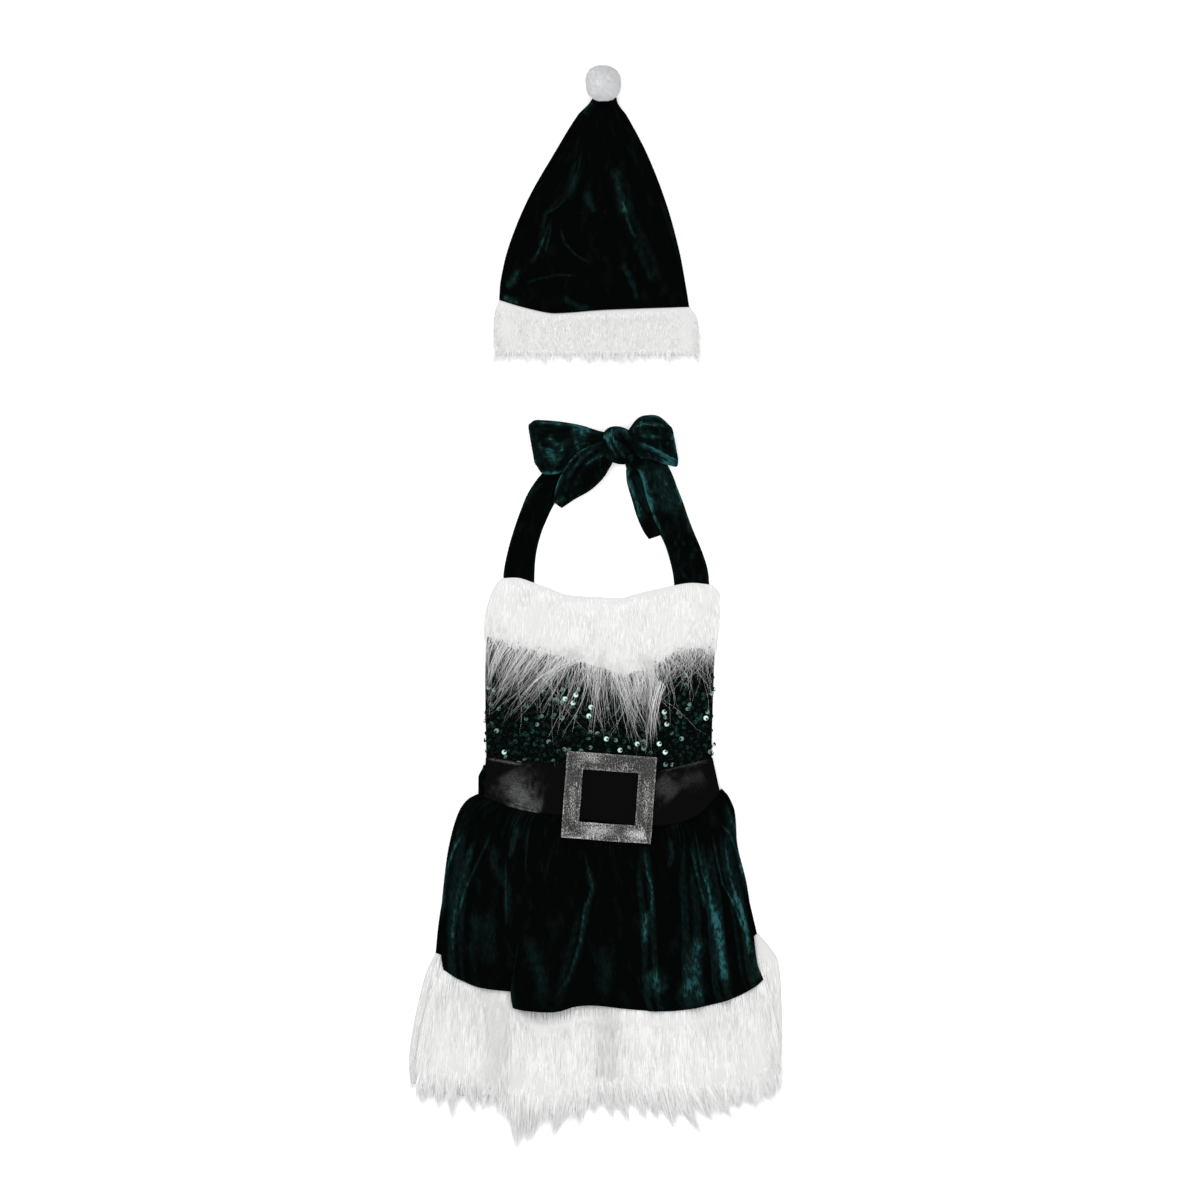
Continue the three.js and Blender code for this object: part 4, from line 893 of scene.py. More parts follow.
# Locks past the hem's side and lower edges: where each starts, where it ends, half width and share
# of hairs
HEM_LOCKS = (
    (-197, -365, -214, -405, 4, 2),
    (-203, -395, -222, -440, 4, 2),
    (-208, -425, -227, -468, 4, 2),
    (198, -368, 213, -408, 4, 2),
    (204, -395, 219, -440, 4, 2),
    (206, -425, 222, -468, 4, 2),
    (-208, -466, -213, -505, 9, 5),
    (-192, -468, -194, -513, 6, 4),
    (-178, -466, -176, -524, 7, 6),
    (-157, -470, -150, -518, 8, 6),
    (-140, -474, -140, -500, 7, 3),
    (-124, -478, -121, -506, 5, 3),
    (-97, -490, -99, -556, 13, 12),
    (-78, -494, -86, -552, 11, 9),
    (-58, -494, -66, -520, 7, 4),
    (-43, -492, -56, -541, 11, 9),
    (-22, -488, -25, -530, 8, 5),
    (-6, -486, -7, -516, 6, 3),
    (7, -488, 18, -523, 6, 4),
    (24, -490, 36, -525, 7, 4),
    (43, -490, 58, -523, 7, 4),
    (60, -490, 72, -524, 7, 4),
    (78, -490, 92, -533, 8, 5),
    (97, -490, 122, -535, 9, 7),
    (116, -490, 137, -524, 8, 5),
    (135, -488, 163, -518, 6, 5),
    (156, -484, 168, -506, 8, 4),
    (176, -478, 188, -505, 9, 5),
    (198, -470, 209, -499, 9, 5),
)
# Hairs that lie on the fleeces: down, long, lean right, lift; and how wide their locks are
BRUSH_FRONT = ((0.04, 30, 0, 0.2), (0.2, 50, 0, 0.45), (0.6, 62, 0, 0.6), (0.97, 34, 0, 1.0))
BRUSH_BACK = ((0.07, 20, 0, 0.4), (0.3, 40, 0, 0.8), (0.97, 34, 0, 1.2))
BRUSH_LOCK = 7
# The share of the longest hairs that are loose, how far they reach and from where to where
LOOSE_SHARE, LOOSE_REACH, LOOSE_LEFT, LOOSE_RIGHT = 0.4, 36, -219, 211
# Widths of the hairs, and faces across and along the fleeces
HEM_BACK_HAIR, HEM_FRONT_HAIR, WISP_HAIR = 1.0, 0.95, 0.8
HEM_BACK_MESH, HEM_FRONT_MESH = (150, 33), (201, 42)
HEM_SEED = 21
back_fur_low = curve(BACK_FUR_LOW)
front_fur_low = curve(FRONT_FUR_LOW)


class Fleece:
    """A panel of fur: its plan, its under side and its depth, and the hairs that lie on it."""

    def __init__(self, sides, top, low, level, deep):
        self.left, self.right = curve(sides, 1), curve(sides, 2)
        self.top, self.low = top, low
        self.place = plan(sides, top, low)
        self.level, self.deep = level, deep

    def under(self, s, t):
        """The under side."""
        return xyz(*self.place(s, t), self.level(s, t))

    def over(self, s, t):
        """The upper side."""
        return xyz(*self.place(s, t), self.level(s, t) + self.deep(s, t))

    def height(self, x, y):
        """How high the fur stands at x, y. Past the panel's lower edge it sinks to the floor."""
        span = np.maximum(self.top(x) - self.low(x), 1.0)
        t = np.clip((self.top(x) - y) / span, 0, 1)
        s = np.clip((x - self.left(t)) / (self.right(t) - self.left(t)), 0, 1)
        past = np.maximum(self.low(x) - y, 0)
        return mix(self.level(s, t) + self.deep(s, t), 1.2, smooth(0, 45, past))

    def wall(self, across, along, crowd=1.3):
        """The dense ground of the fur as a wall with fine grooves."""

        def thick(s, t):
            groove = 0.35 * ripple(140 * s, 5 * t, 6.0) + 0.45 * ripple(34 * s + t, 2.5 * t, 8.0)
            return self.deep(s, t) * (1 + 0.09 * groove * smooth(0.05, 0.3, t))

        return Wall(self.under, thick, across, along, crowd)


def brushed_hairs(fleece, count, rows, dice):
    """Hairs that lie on a fleece and run down it, gathered into soft locks.
    rows has, down the fleece: how long hairs are, how far they lean right and how high they stand."""
    long, lean, lift = (curve(rows, give) for give in (1, 2, 3))
    s = dice.uniform(0.004, 0.996, count)
    t = dice.uniform(rows[0][0], rows[-1][0], count)
    roots = fleece.over(s, t)
    roots[:, 2] -= 0.6 * smooth(0, 0.3, t)
    x, y = roots[:, 0], roots[:, 1]
    lock = np.floor(x / BRUSH_LOCK + 1.3 * ripple(x / 20, y / 35, 3.0))
    length = long(t) * (0.6 + 0.4 * chance(lock)) * dice.uniform(0.75, 1.1, count)
    pull = (lock + 0.5) * BRUSH_LOCK - x
    outward = 0.1 * x / 200
    drift = lean(t) + outward + 0.08 * (chance(lock + 40) - 0.5) + dice.normal(0, 0.035, count)
    tips = roots.copy()
    tips[:, 0] += length * drift + 0.35 * pull * smooth(0, 30, length)
    tips[:, 1] -= length
    stand = lift(t) * dice.uniform(0.2, 1.3, count)
    tips[:, 2] = np.maximum(fleece.height(tips[:, 0], tips[:, 1]) + stand, 0.6)
    bows = np.zeros((count, 3))
    bows[:, 0] = dice.normal(0, 0.03, count) * length
    middle = 0.5 * (roots + tips)
    rise = fleece.height(middle[:, 0], middle[:, 1]) - middle[:, 2]
    bows[:, 2] = np.clip(rise, -1, 4) + 0.6 * stand
    shade = 0.12 + 0.1 * (chance(lock + 9) - 0.5) + dice.normal(0, 0.04, count)
    return roots, tips, bows, np.clip(shade, 0, 1)


def back_fleece():
    """The fur at the back of the hem."""
    deep = curve(BACK_FUR_DEEP)
    return Fleece(
        BACK_FUR_SIDES,
        lambda x: back_hem(x) + FUR_TUCK_BACK,
        lambda x: back_fur_low(x) - 3,
        lambda s, t: (VELVET + GAP) * (1 - smooth(0.08, 0.2, t)),
        lambda s, t: np.minimum(deep(t), mix(2.6, deep(t), inside(s, 0.14))),
    )


def front_fleece():
    """The fur at the front of the hem. Its depth follows the skirt's folds as they run out."""
    deep, level = curve(FRONT_FUR_DEEP, 1), curve(FRONT_FUR_DEEP, 2)

    def thick(s, t):
        past = smooth(0.1, 0.22, t) * mix(0.8, 0.25, t)
        folds = fold_height(FRONT_FOLDS, s, 1.0) + DOUBLED_HIGH * doubled_lift(doubled_at(s))
        edged = np.minimum(deep(t), mix(1.8, deep(t), inside(s, 0.06)))
        return edged + 0.7 * past * folds * inside(s, 0.06)

    return Fleece(
        FRONT_FUR_SIDES,
        lambda x: front_hem(x) + FUR_TUCK_FRONT,
        front_fur_low,
        lambda s, t: mix(FUR_EDGE_LEVEL, level(t), inside(s, 0.07)),
        thick,
    )


def hem_wisps(fleece, count, dice):
    """The longest hairs, which run past the hem's edge in ragged locks or loose."""
    locks = np.array(HEM_LOCKS, float)
    in_lock = dice.choice(len(locks), count, p=locks[:, 5] / locks[:, 5].sum())
    x, y, end_x, end_y, half = locks[in_lock, :5].T
    across = dice.uniform(-1, 1, count)
    strand = np.round(across * 3) / 3
    reach = 0.35 + 0.76 * dice.uniform(0, 1, count) - 0.15 * chance(7 * in_lock + np.round(3 * across))
    loose = dice.uniform(0, 1, count) < LOOSE_SHARE
    x = np.where(loose, dice.uniform(LOOSE_LEFT, LOOSE_RIGHT, count), x + across * half)
    y = np.where(loose, front_fur_low(x) + 4, y)
    tips = xyz(mix(x - across * half, end_x, reach), mix(y, end_y, reach), 0)
    tips[:, 0] += half * mix(across, strand, 0.7) * (1.1 - 0.85 * reach) + dice.normal(0, 1.0, count)
    short = dice.uniform(0.15, 1, count) ** 1.3
    aside = 0.06 * x + 7 * smooth(-20, 60, x)
    tips[:, 0] = np.where(loose, x + aside * short + dice.normal(0, 3, count), tips[:, 0])
    down = LOOSE_REACH * short * (0.5 + 0.5 * chance(np.round(x / 5)))
    tips[:, 1] = np.where(loose, y - down, tips[:, 1])
    tips[:, 2] = dice.uniform(0.7, 3.2, count)
    ahead = (tips[:, 0] - x) / np.maximum(y - tips[:, 1], 6)
    back = dice.uniform(4, 46, count)
    roots = xyz(x - 0.3 * back * np.clip(ahead, -1, 1), y + back, 0)
    roots[:, 2] = fleece.height(roots[:, 0], roots[:, 1]) - 0.7
    bows = np.zeros((count, 3))
    bows[:, 0] = dice.normal(0, 1.2, count) - 0.1 * (tips[:, 0] - roots[:, 0])
    bows[:, 2] = dice.uniform(0.2, 2.4, count)
    own = chance(5 * in_lock + np.round(3 * across)) - 0.5
    shade = 0.12 + 0.2 * own + dice.normal(0, 0.08, count)
    return roots, tips, bows, np.clip(shade, 0, 1)


def hollows(points):
    """Painted shade in the front fur's soft hollows."""
    return streaks(points[:, 0], points[:, 1], HEM_HOLLOWS)


def hem_fur():
    """The fur of the hem: two fleeces, the hairs on them and the locks past their edge."""
    looks = bpy.context.scene.costume_fur
    dice = np.random.default_rng(HEM_SEED)
    back, front = back_fleece(), front_fleece()
    wall = back.wall(*HEM_BACK_MESH)
    piece = fleece_piece("hem_back", "hem_fur_back", wall, 0.1)
    *where, shade = brushed_hairs(back, looks.hem_back_hairs, BRUSH_BACK, dice)
    hairs = hair(*where, HEM_BACK_HAIR, HAIR_RINGS, dice)
    on_back = hair_piece("hem_back_hairs", hairs, shade)
    wall = front.wall(*HEM_FRONT_MESH)
    # Painted shade in the hollows, on the front fleece
    piece = fleece_piece("hem_front", "hem_fur_front", wall, hollows(wall.points))
    *where, shade = brushed_hairs(front, looks.hem_front_hairs, BRUSH_FRONT, dice)
    # Painted shade in the hollows, on the hairs too
    shade = shade + hollows(0.5 * (where[0] + where[1]))
    hairs = hair(*where, HEM_FRONT_HAIR, HAIR_RINGS, dice)
    on_front = hair_piece("hem_front_hairs", hairs, shade)
    *where, shade = hem_wisps(front, looks.hem_wisps, dice)
    hairs = hair(*where, WISP_HAIR, HAIR_RINGS, dice)
    wisps = hair_piece("hem_wisps", hairs, shade, ["hem_fur_locks"])


# The bodice: x, y of the top edge of the fur on it; then down, left, right; how far its cloth ends
# below the fur's edge and how long it is
BIB_TOP = (
    (-119, 134), (-98, 134.5), (-79, 128.5), (-60, 122), (-41, 114.5), (0, 111.5),
    (26, 110.5), (46, 116), (86, 125), (110, 128.5), (136, 126),
)
BODICE_SIDES = (
    (0, -117, 134), (0.1, -127, 139.5), (0.3, -136.5, 137.5),
    (0.6, -137.5, 135), (0.8, -136.5, 134), (1, -137, 136),
)
BODICE_BELOW_FUR, BODICE_DEEP = 8, 260
# How high the bodice rises over the waistband, and from where to where below its middle
BAND_CLEAR, BAND_RISE = 3.6, (46, 70)
BODICE_MESH = 90, 81
bib_top = curve(BIB_TOP)


def bodice_top(x):
    """The top edge of the bodice's cloth, just under the fur's."""
    return bib_top(x) - BODICE_BELOW_FUR


def bodice_level(y):
    """How high the bodice lies: it rises over the waistband."""
    return BAND_CLEAR * smooth(*BAND_RISE, -y)


bodice_plan = plan(BODICE_SIDES, bodice_top, lambda x: waist_seam(x) + 2.5 * GAP)


def bodice():
    """The cloth of the bodice, which the sequins are sewn on."""

    def under(s, t):
        x, y = bodice_plan(s, t)
        return xyz(x, y, bodice_level(y))

    def thick(s, t):
        return SEQUIN_CLOTH - 0.1 + 0.1 * ripple(30 * s, 30 * t, 3.0)

    wall = Wall(under, thick, *BODICE_MESH)
    knit = finish_of("sequin_ground")
    return cloth_piece("bodice_cloth", wall, knit, "sequin_cloth", ["bodice_front"])


# Sequins that face the light, each with a painted glint: x and y
BRIGHT_SEQUINS = (
    (-42, -10.5), (-29, -6), (-32.5, -15.5), (-13.5, -31), (7.5, -58.5), (44.5, -64.5), (24, -72),
    (78, -74.5), (71, -64.5), (-115, -74.5), (127, -33.5), (77, -26.5), (80, -41), (-11, -20.5),
)
# Sequins that jut out at the sides of the bodice: x and y
EDGE_SEQUINS = (
    (-136.5, -27), (-137.5, -37), (-136.5, -52), (-137.5, -60), (-136, -73),
    (136.5, 1), (133.5, -14), (134, -31), (133.5, -48), (137, -65), (134, -76),
)
# A sequin: its sides, the radius of its hole, how deep its cup is and how thick its film
SEQUIN_SIDES, SEQUIN_HOLE, SEQUIN_CUP, SEQUIN_FILM = 8, 1.45, 0.45, 0.22
# Where the rows of sequins are, left, right, low, high; their spacing as a share of the pitch, how
# far sequins stray from their place, as a share too, and the spread of their tilts
SEQUIN_AREA = -134, 136, -92, 78
SEQUIN_ROW, SEQUIN_STRAY, SEQUIN_TILT = 0.82, 0.24, 0.4
# The most painted glint on a sequin which doesn't face the light
MOST_SHINE = 0.55
SEQUIN_SEED = 8


def disc(radius):
    """Points and faces of one sequin: a shallow cup, thin and closed, with a hole beside its middle."""
    turn = 2 * np.pi * np.arange(SEQUIN_SIDES) / SEQUIN_SIDES
    ring = xyz(np.cos(turn), np.sin(turn), 0)
    high = np.array([0, 0, 1.0])
    aside = np.array([0.5 * radius, 0, 0])
    rows = [
        ring * radius + high * SEQUIN_CUP,
        ring * SEQUIN_HOLE + aside,
        ring * SEQUIN_HOLE + aside + high * SEQUIN_FILM,
        ring * radius + high * (SEQUIN_CUP + SEQUIN_FILM),
    ]
    index = np.arange(4 * SEQUIN_SIDES).reshape(4, SEQUIN_SIDES)
    across, on = np.roll(index, -1, axis=0), np.roll(index, -1, axis=1)
    faces = np.stack([across, np.roll(across, -1, axis=1), on, index], axis=-1)
    return np.concatenate(rows), faces.reshape(-1, 4)


def sequins(cloth):
    """Rows of small sequins, sewn on by their middles, uneven in tilt and in their painted glints."""
    looks = bpy.context.scene.costume_sequins
    pitch, radius = looks.pitch / MM, 0.5 * looks.diameter / MM
    dice = np.random.default_rng(SEQUIN_SEED)
    left, right, low, high = SEQUIN_AREA
    spots = []
    for nth, y in enumerate(np.arange(low + radius, high, SEQUIN_ROW * pitch)):
        for x in np.arange(left + 0.5 * pitch * (nth % 2), right, pitch):
            spots.append((x, y))
    spots = np.array(spots) + dice.normal(0, SEQUIN_STRAY * pitch, (len(spots), 2))
    bright = np.array(BRIGHT_SEQUINS, float)
    apart = np.linalg.norm(spots[:, None] - bright[None], axis=2).min(axis=1)
    spots = np.concatenate([spots[apart > 1.5 * radius], bright])
    down = np.clip((bodice_top(spots[:, 0]) - spots[:, 1]) / BODICE_DEEP, 0, 1)
    left, right = bodice_plan(0 * down, down)[0], bodice_plan(0 * down + 1, down)[0]
    keep = (spots[:, 0] > left + 1.5) & (spots[:, 0] < right - 1.5) & (spots[:, 1] > -90)
    keep |= np.arange(len(spots)) >= len(spots) - len(bright)
    spots = np.concatenate([EDGE_SEQUINS, spots[keep]])
    count = len(spots)
    lit = np.arange(count) >= count - len(bright)
    jutting = np.arange(count) < len(EDGE_SEQUINS)
    shape, faces = disc(radius)
    size = np.where(lit, 0.95, dice.uniform(0.8, 0.98, count))
    tilt_x = np.where(lit, 0.12, dice.normal(0.1, SEQUIN_TILT, count))
    tilt_y = dice.normal(0, SEQUIN_TILT, count)
    tilt_y = np.where(lit, 0.08, np.where(jutting, 0.9 * np.sign(spots[:, 0]), tilt_y))
    turn = np.where(lit, dice.uniform(-1, 1.6, count), dice.uniform(0, 2 * np.pi, count))
    local = shape[None] * size[:, None, None]
    c, s = np.cos(turn)[:, None], np.sin(turn)[:, None]
    x, y, z = np.moveaxis(local, -1, 0)
    x, y = x * c - y * s, x * s + y * c
    tx, ty = tilt_x[:, None], tilt_y[:, None]
    y, z = y * np.cos(tx) - z * np.sin(tx), y * np.sin(tx) + z * np.cos(tx)
    x, z = x * np.cos(ty) + z * np.sin(ty), z * np.cos(ty) - x * np.sin(ty)
    raised = bodice_level(spots[:, 1]) + SEQUIN_CLOTH + 0.35
    raised = raised - np.minimum(z.min(axis=1), 0) + 0.5 * dice.uniform(0, 1, count) + 1.0 * lit
    points = xyz(x + spots[:, :1], y + spots[:, 1:], z + raised[:, None])
    faces = faces[None] + (np.arange(count) * len(shape))[:, None, None]
    # Painted glints: bright on the sequins that face the light, faint and random on the rest, none at
    # the sides
    flash = np.where(lit, dice.uniform(0.8, 1.0, count), MOST_SHINE * dice.uniform(0, 1, count) ** 4.2)
    flash[jutting] = 0
    piece = make_piece(
        "sequins", points.reshape(-1, 3), faces.reshape(-1, 4), finish_of("sequin_film"),
        flash=np.repeat(flash, len(shape)),
    )


# The bib: down, left, right; then x, y of its lower edge, and its depth down it
BIB_FUR_SIDES = (
    (0, -118, 135), (0.12, -125.5, 143), (0.35, -132.5, 144), (0.65, -138, 142.5), (1, -139.5, 140),
)
BIB_FUR_LOW = (
    (-139, 65), (-115, 58), (-88, 50), (-52, 42), (-12, 31), (30, 20),
    (50, 23), (71, 33), (88, 45), (112, 50), (137, 48),
)
BIB_FUR_DEEP = ((0, 4), (0.1, 8), (0.4, 10.5), (0.75, 8), (1, 3))
# Hairs that fall over the sequins, in groups: where they start from and to, how far up the fleece,
# the share of all hairs, length, lean right for each millimetre down, bow, curl and their spread
BIB_GROUPS = (
    (-139, -84, 7, 0.15, 88, -0.62, -0.05, 1.2, 0.16),
    (-92, -36, 7, 0.13, 96, -0.85, 0.08, 1.4, 0.20),
    (-64, -6, 5, 0.09, 96, -0.30, 0.05, 1.8, 0.32),
    (-24, 22, 5, 0.10, 96, 0.02, -0.02, 1.6, 0.18),
    (10, 50, 5, 0.12, 106, 0.32, -0.02, 1.6, 0.18),
    (40, 76, 5, 0.10, 98, 0.04, 0.03, 1.4, 0.18),
    (72, 139, 5, 0.24, 54, -0.02, 0.16, 3.6, 0.70),
    (-134, 132, 5, 0.28, 124, -0.12, 0.0, 3.2, 0.62),
)
BIB_STRAND = 5.2
# The share of the falling hairs that are loose, and how far left and right any of them may reach
FALL_LOOSE, FALL_REACH = 0.3, 139
# Bright locks over the sequins: start, end, half width at the start, share of all hairs, bow
BIB_LOCKS = (
    (-18, 43, -81, 8, 8, 0.03, 7),
    (-14, 34, -95, -18, 7, 0.03, 9),
    (-96, 50, -124, -12, 8, 0.025, 2),
    (-112, 54, -138, 4, 6, 0.02, 2),
    (-60, 46, -110, -12, 7, 0.02, 6),
    (4, 36, -8, -52, 6, 0.012, 1),
    (16, 30, 40, -48, 9, 0.02, -2),
    (50, 36, 76, -8, 13, 0.06, 3),
    (72, 4, 58, -72, 9, 0.035, 3),
    (60, 34, 72, -44, 9, 0.03, 4),
)
# Widths of the hairs that fall, of the bright locks and of the hairs on the bib
FALL_HAIR, LOCK_HAIR, BIB_HAIR = (0.17, 0.34), (0.22, 0.42), 0.75
# Hairs that lie on the bib: down, long, lean right, lift
BRUSH_BIB = ((0.02, 16, 0.05, 0.15), (0.4, 30, 0, 0.3), (0.7, 25, -0.08, 0.5), (0.98, 12, -0.15, 0.8))
BIB_MESH = 150, 42
BIB_SEED = 34
BIB_LEVEL = SEQUIN_CLOTH + GAP
bib_fur_low = curve(BIB_FUR_LOW)


def bib_fleece():
    """The fur across the top of the bodice."""
    deep = curve(BIB_FUR_DEEP)
    return Fleece(
        BIB_FUR_SIDES,
        bib_top,
        bib_fur_low,
        lambda s, t: BIB_LEVEL + (TIE + GAP - BIB_LEVEL) * (1 - smooth(0.2, 0.35, t)),
        lambda s, t: mix(2.5, deep(t), inside(s, 0.08)),
    )


def bib_strands(fleece, start, tips, bows, width, curl, shade, dice):
    """Hairs from x, y points of the bib's lower edge to their tips, clear of the sequins."""
    x, y = start
    hung = fleece.height(x, np.maximum(y, bib_fur_low(x) + 0.5)) - 0.7
    below = np.maximum(bib_fur_low(x) - y, 0)
    roots = xyz(x, y, mix(hung, BIB_LEVEL + 3.5 + bodice_level(y), smooth(0, 12, below)))
    inner = 7 * dice.uniform(0, 1, len(tips))
    tips[:, 0] = np.clip(tips[:, 0], inner - FALL_REACH, FALL_REACH - inner)
    tips[:, 2] = BIB_LEVEL + 3.0 + bodice_level(tips[:, 1]) + dice.uniform(0, 2.2, len(tips))
    return hair(roots, tips, bows, width, FALL_RINGS, dice, curl), np.clip(shade, 0, 1)


def bib_fall(fleece, count, dice):
    """The long hairs that fall from the bib over the sequins: loose ones and leaning locks."""
    parts = []
    for start, end, up, share, long, lean, bow, curl, spread in BIB_GROUPS:
        many = int(count * share)
        strand = dice.integers(0, int((end - start) / BIB_STRAND), many)
        loose = dice.uniform(0, 1, many) < FALL_LOOSE
        x = start + (strand + 0.5) * BIB_STRAND + dice.normal(0, 0.15 * BIB_STRAND, many)
        x = np.where(loose, dice.uniform(start, end, many), x)
        back = up * dice.uniform(-0.1, 1, many)
        reach = back + long * (0.4 + 0.6 * chance(strand + start)) * dice.uniform(0.3, 1, many)
        own = np.where(loose, 1.0, 0.45) * dice.normal(0, spread, many)
        slant = lean + 1.2 * spread * (chance(strand + 31) - 0.5) + own
        y = bib_fur_low(x) + back
        tips = xyz(x + reach * slant, y - reach, 0)
        sag = bow * reach + dice.normal(0, 0.03, many) * reach
        bows = xyz(sag, 0, dice.uniform(0.5, 3, many))
        shade = 0.38 + 0.4 * (chance(strand + 9) - 0.5) + dice.normal(0, 0.2, many)
        width = dice.uniform(*FALL_HAIR, many)
        parts.append(bib_strands(fleece, (x, y), tips, bows, width, curl, shade, dice))
    for x, y, end_x, end_y, half, share, bow in BIB_LOCKS:
        many = int(count * share)
        across = dice.normal(0, 0.5, many)
        reach = mix(0.3, 1.1, dice.uniform(0, 1, many))
        where = x + half * across, y + dice.uniform(0, 12, many)
        tips = xyz(mix(x, end_x, reach), mix(y, end_y, reach), 0)
        tips[:, 0] += dice.normal(0, 2.2, many) + 0.6 * half * across
        bows = xyz(-bow * reach + dice.normal(0, 0.8, many), bow * reach, dice.uniform(1, 4, many))
        shade = dice.uniform(0, 0.2, many)
        width = dice.uniform(*LOCK_HAIR, many)
        parts.append(bib_strands(fleece, where, tips, bows, width, 1.6, shade, dice))
    shift = np.cumsum([0] + [len(hairs[0]) for hairs, _ in parts])
    points = np.concatenate([hairs[0] for hairs, _ in parts])
    faces = np.concatenate([hairs[1] + start for (hairs, _), start in zip(parts, shift)])
    outward = np.concatenate([hairs[2] for hairs, _ in parts])
    return (points, faces, outward), np.concatenate([shade for _, shade in parts])


def bib_fur():
    """The fur on the bodice: its fleece, the short hairs on it and the long ones that fall."""
    looks = bpy.context.scene.costume_fur
    dice = np.random.default_rng(BIB_SEED)
    fleece = bib_fleece()
    piece = fleece_piece("bib", "bib_fur", fleece.wall(*BIB_MESH), 0)
    *where, shade = brushed_hairs(fleece, looks.bib_hairs, BRUSH_BIB, dice)
    short = hair_piece("bib_hairs", hair(*where, BIB_HAIR, HAIR_RINGS, dice), 0.6 * shade)
    long = hair_piece("bib_fall", *bib_fall(fleece, looks.bib_fall, dice), ["bib_fur_locks"])


# Belt across the front: down, left, right; then x, y of its edges
BELT_SIDES = ((0, -137, 135), (1, -139.5, 144))
BELT_TOP = ((-137, -81), (-42, -89.5), (20, -96), (67, -97), (100, -90), (135, -81))
BELT_BOTTOM = (
    (-139.5, -128.5), (-94, -144), (-46, -150.5), (0, -158),
    (65, -163), (99, -158), (121, -147), (144, -122.5),
)
# How the belt leans, where its middle under the buckle is, how high it lies there and at its edge,
# and how thick its edges are rolled
BELT_LEAN = 0.05
BELT_X, BELT_Y, BELT_MIDDLE_LEVEL = 10.7, -128.7, 8.7
BELT_EDGE_LEVEL = 7.3
BELT_ROLL = 0.25
BELT_MESH = 198, 48
# Painted sheen where the belt would catch the light, and painted highlights along its rolled edges:
# wide, bright, path
BELT_WORN = (
    (16, 0.44, ((-112, -96), (-104, -110), (-96, -124), (-88, -138))),
    (10, 0.42, ((-108, -114), (-97, -124), (-86, -136))),
    (9, 0.30, ((-90, -132), (-78, -136), (-68, -138))),
    (6, 0.30, ((-100, -130), (-84, -136), (-66, -140))),
    (1.2, 0.95, ((-136, -82), (-118, -85), (-104, -87.5), (-92, -89))),
    (1.2, 0.9, ((-110, -137.5), (-92, -142.5), (-72, -146.5))),
    (1.1, 0.6, ((-106, -134), (-90, -139), (-74, -143))),
    (13, 0.34, ((68, -106), (80, -116), (92, -128))),
    (9, 0.16, ((96, -112), (112, -106), (126, -100))),
    (1.5, 0.3, ((70, -97), (100, -91), (132, -83))),
)
# Soft wrinkles of the belt: wide, high, path
BELT_WRINKLES = (
    (9, 0.9, ((-128, -96), (-118, -110), (-112, -132))),
    (12, 1.0, ((-98, -94), (-92, -112), (-88, -136))),
    (9, 0.7, ((-66, -96), (-62, -116), (-64, -140))),
    (8, 0.5, ((84, -98), (90, -118), (86, -144))),
    (10, 0.8, ((112, -92), (120, -112), (118, -138))),
)


def belt():
    """The belt, softly wrinkled, with a rolled edge above and below."""
    place = plan(BELT_SIDES, curve(BELT_TOP), curve(BELT_BOTTOM))

    def under(s, t):
        x, y = place(s, t)
        level = BELT_MIDDLE_LEVEL + BELT_LEAN * (BELT_Y - y)
        away = smooth(50, 70, np.abs(x - BELT_X))
        waves = (ridges(x, y, BELT_WRINKLES) + 0.15 * (1 + ripple(18 * s, 3 * t, 2.0))) * away
        return xyz(x, y, mix(BELT_EDGE_LEVEL, level, inside(s, 0.04)) + waves)

    def thick(s, t):
        return LEATHERETTE + BELT_ROLL * (smooth(0.07, 0.03, t) + smooth(0.93, 0.97, t))

    wall = Wall(under, thick, *BELT_MESH)
    leatherette = finish_of("worn_leatherette")
    # Painted sheen and edge highlights on the belt
    worn = streaks(*wall.points[:, :2].T, BELT_WORN)
    piece = cloth_piece("belt_leatherette", wall, leatherette, "leatherette", ["belt"], worn=worn)


# The buckle's slant, its gap to the belt, how far its edges are rounded, the cuts across each of its
# faces and how uneven it is
BUCKLE_TURN = -0.073
BUCKLE_CLEAR = 0.5
BUCKLE_ROUND = 0.45
BUCKLE_CUTS = 6
BUCKLE_UNEVEN = 0.35
# Painted highlights where the foil shines, on the flat buckle: wide, bright, path
BUCKLE_SHINE = (
    (7, 0.24, ((-48, 44), (-30, 46), (-4, 42))),
    (4, 0.18, ((14, 48), (16, 40), (14, 32))),
    (5, 0.20, ((-44, 20), (-43, -10), (-44, -36))),
    (8, 0.34, ((-34, -42), (-8, -40), (10, -44))),
    (8, 0.42, ((18, -46), (34, -42), (52, -44))),
    (5, 0.20, ((46, -30), (44, 0), (46, 26))),
    (3, 0.30, ((-52, -44), (-44, -50), (-30, -51))),
)


def select_faces(mesh, test):
    """Selects, in edit mode, the faces that pass a test, and nothing else."""
    bpy.ops.mesh.select_all(action="DESELECT")
    bpy.ops.object.mode_set(mode="OBJECT")
    for face in mesh.polygons:
        face.select = bool(test(face))
    bpy.ops.object.mode_set(mode="EDIT")


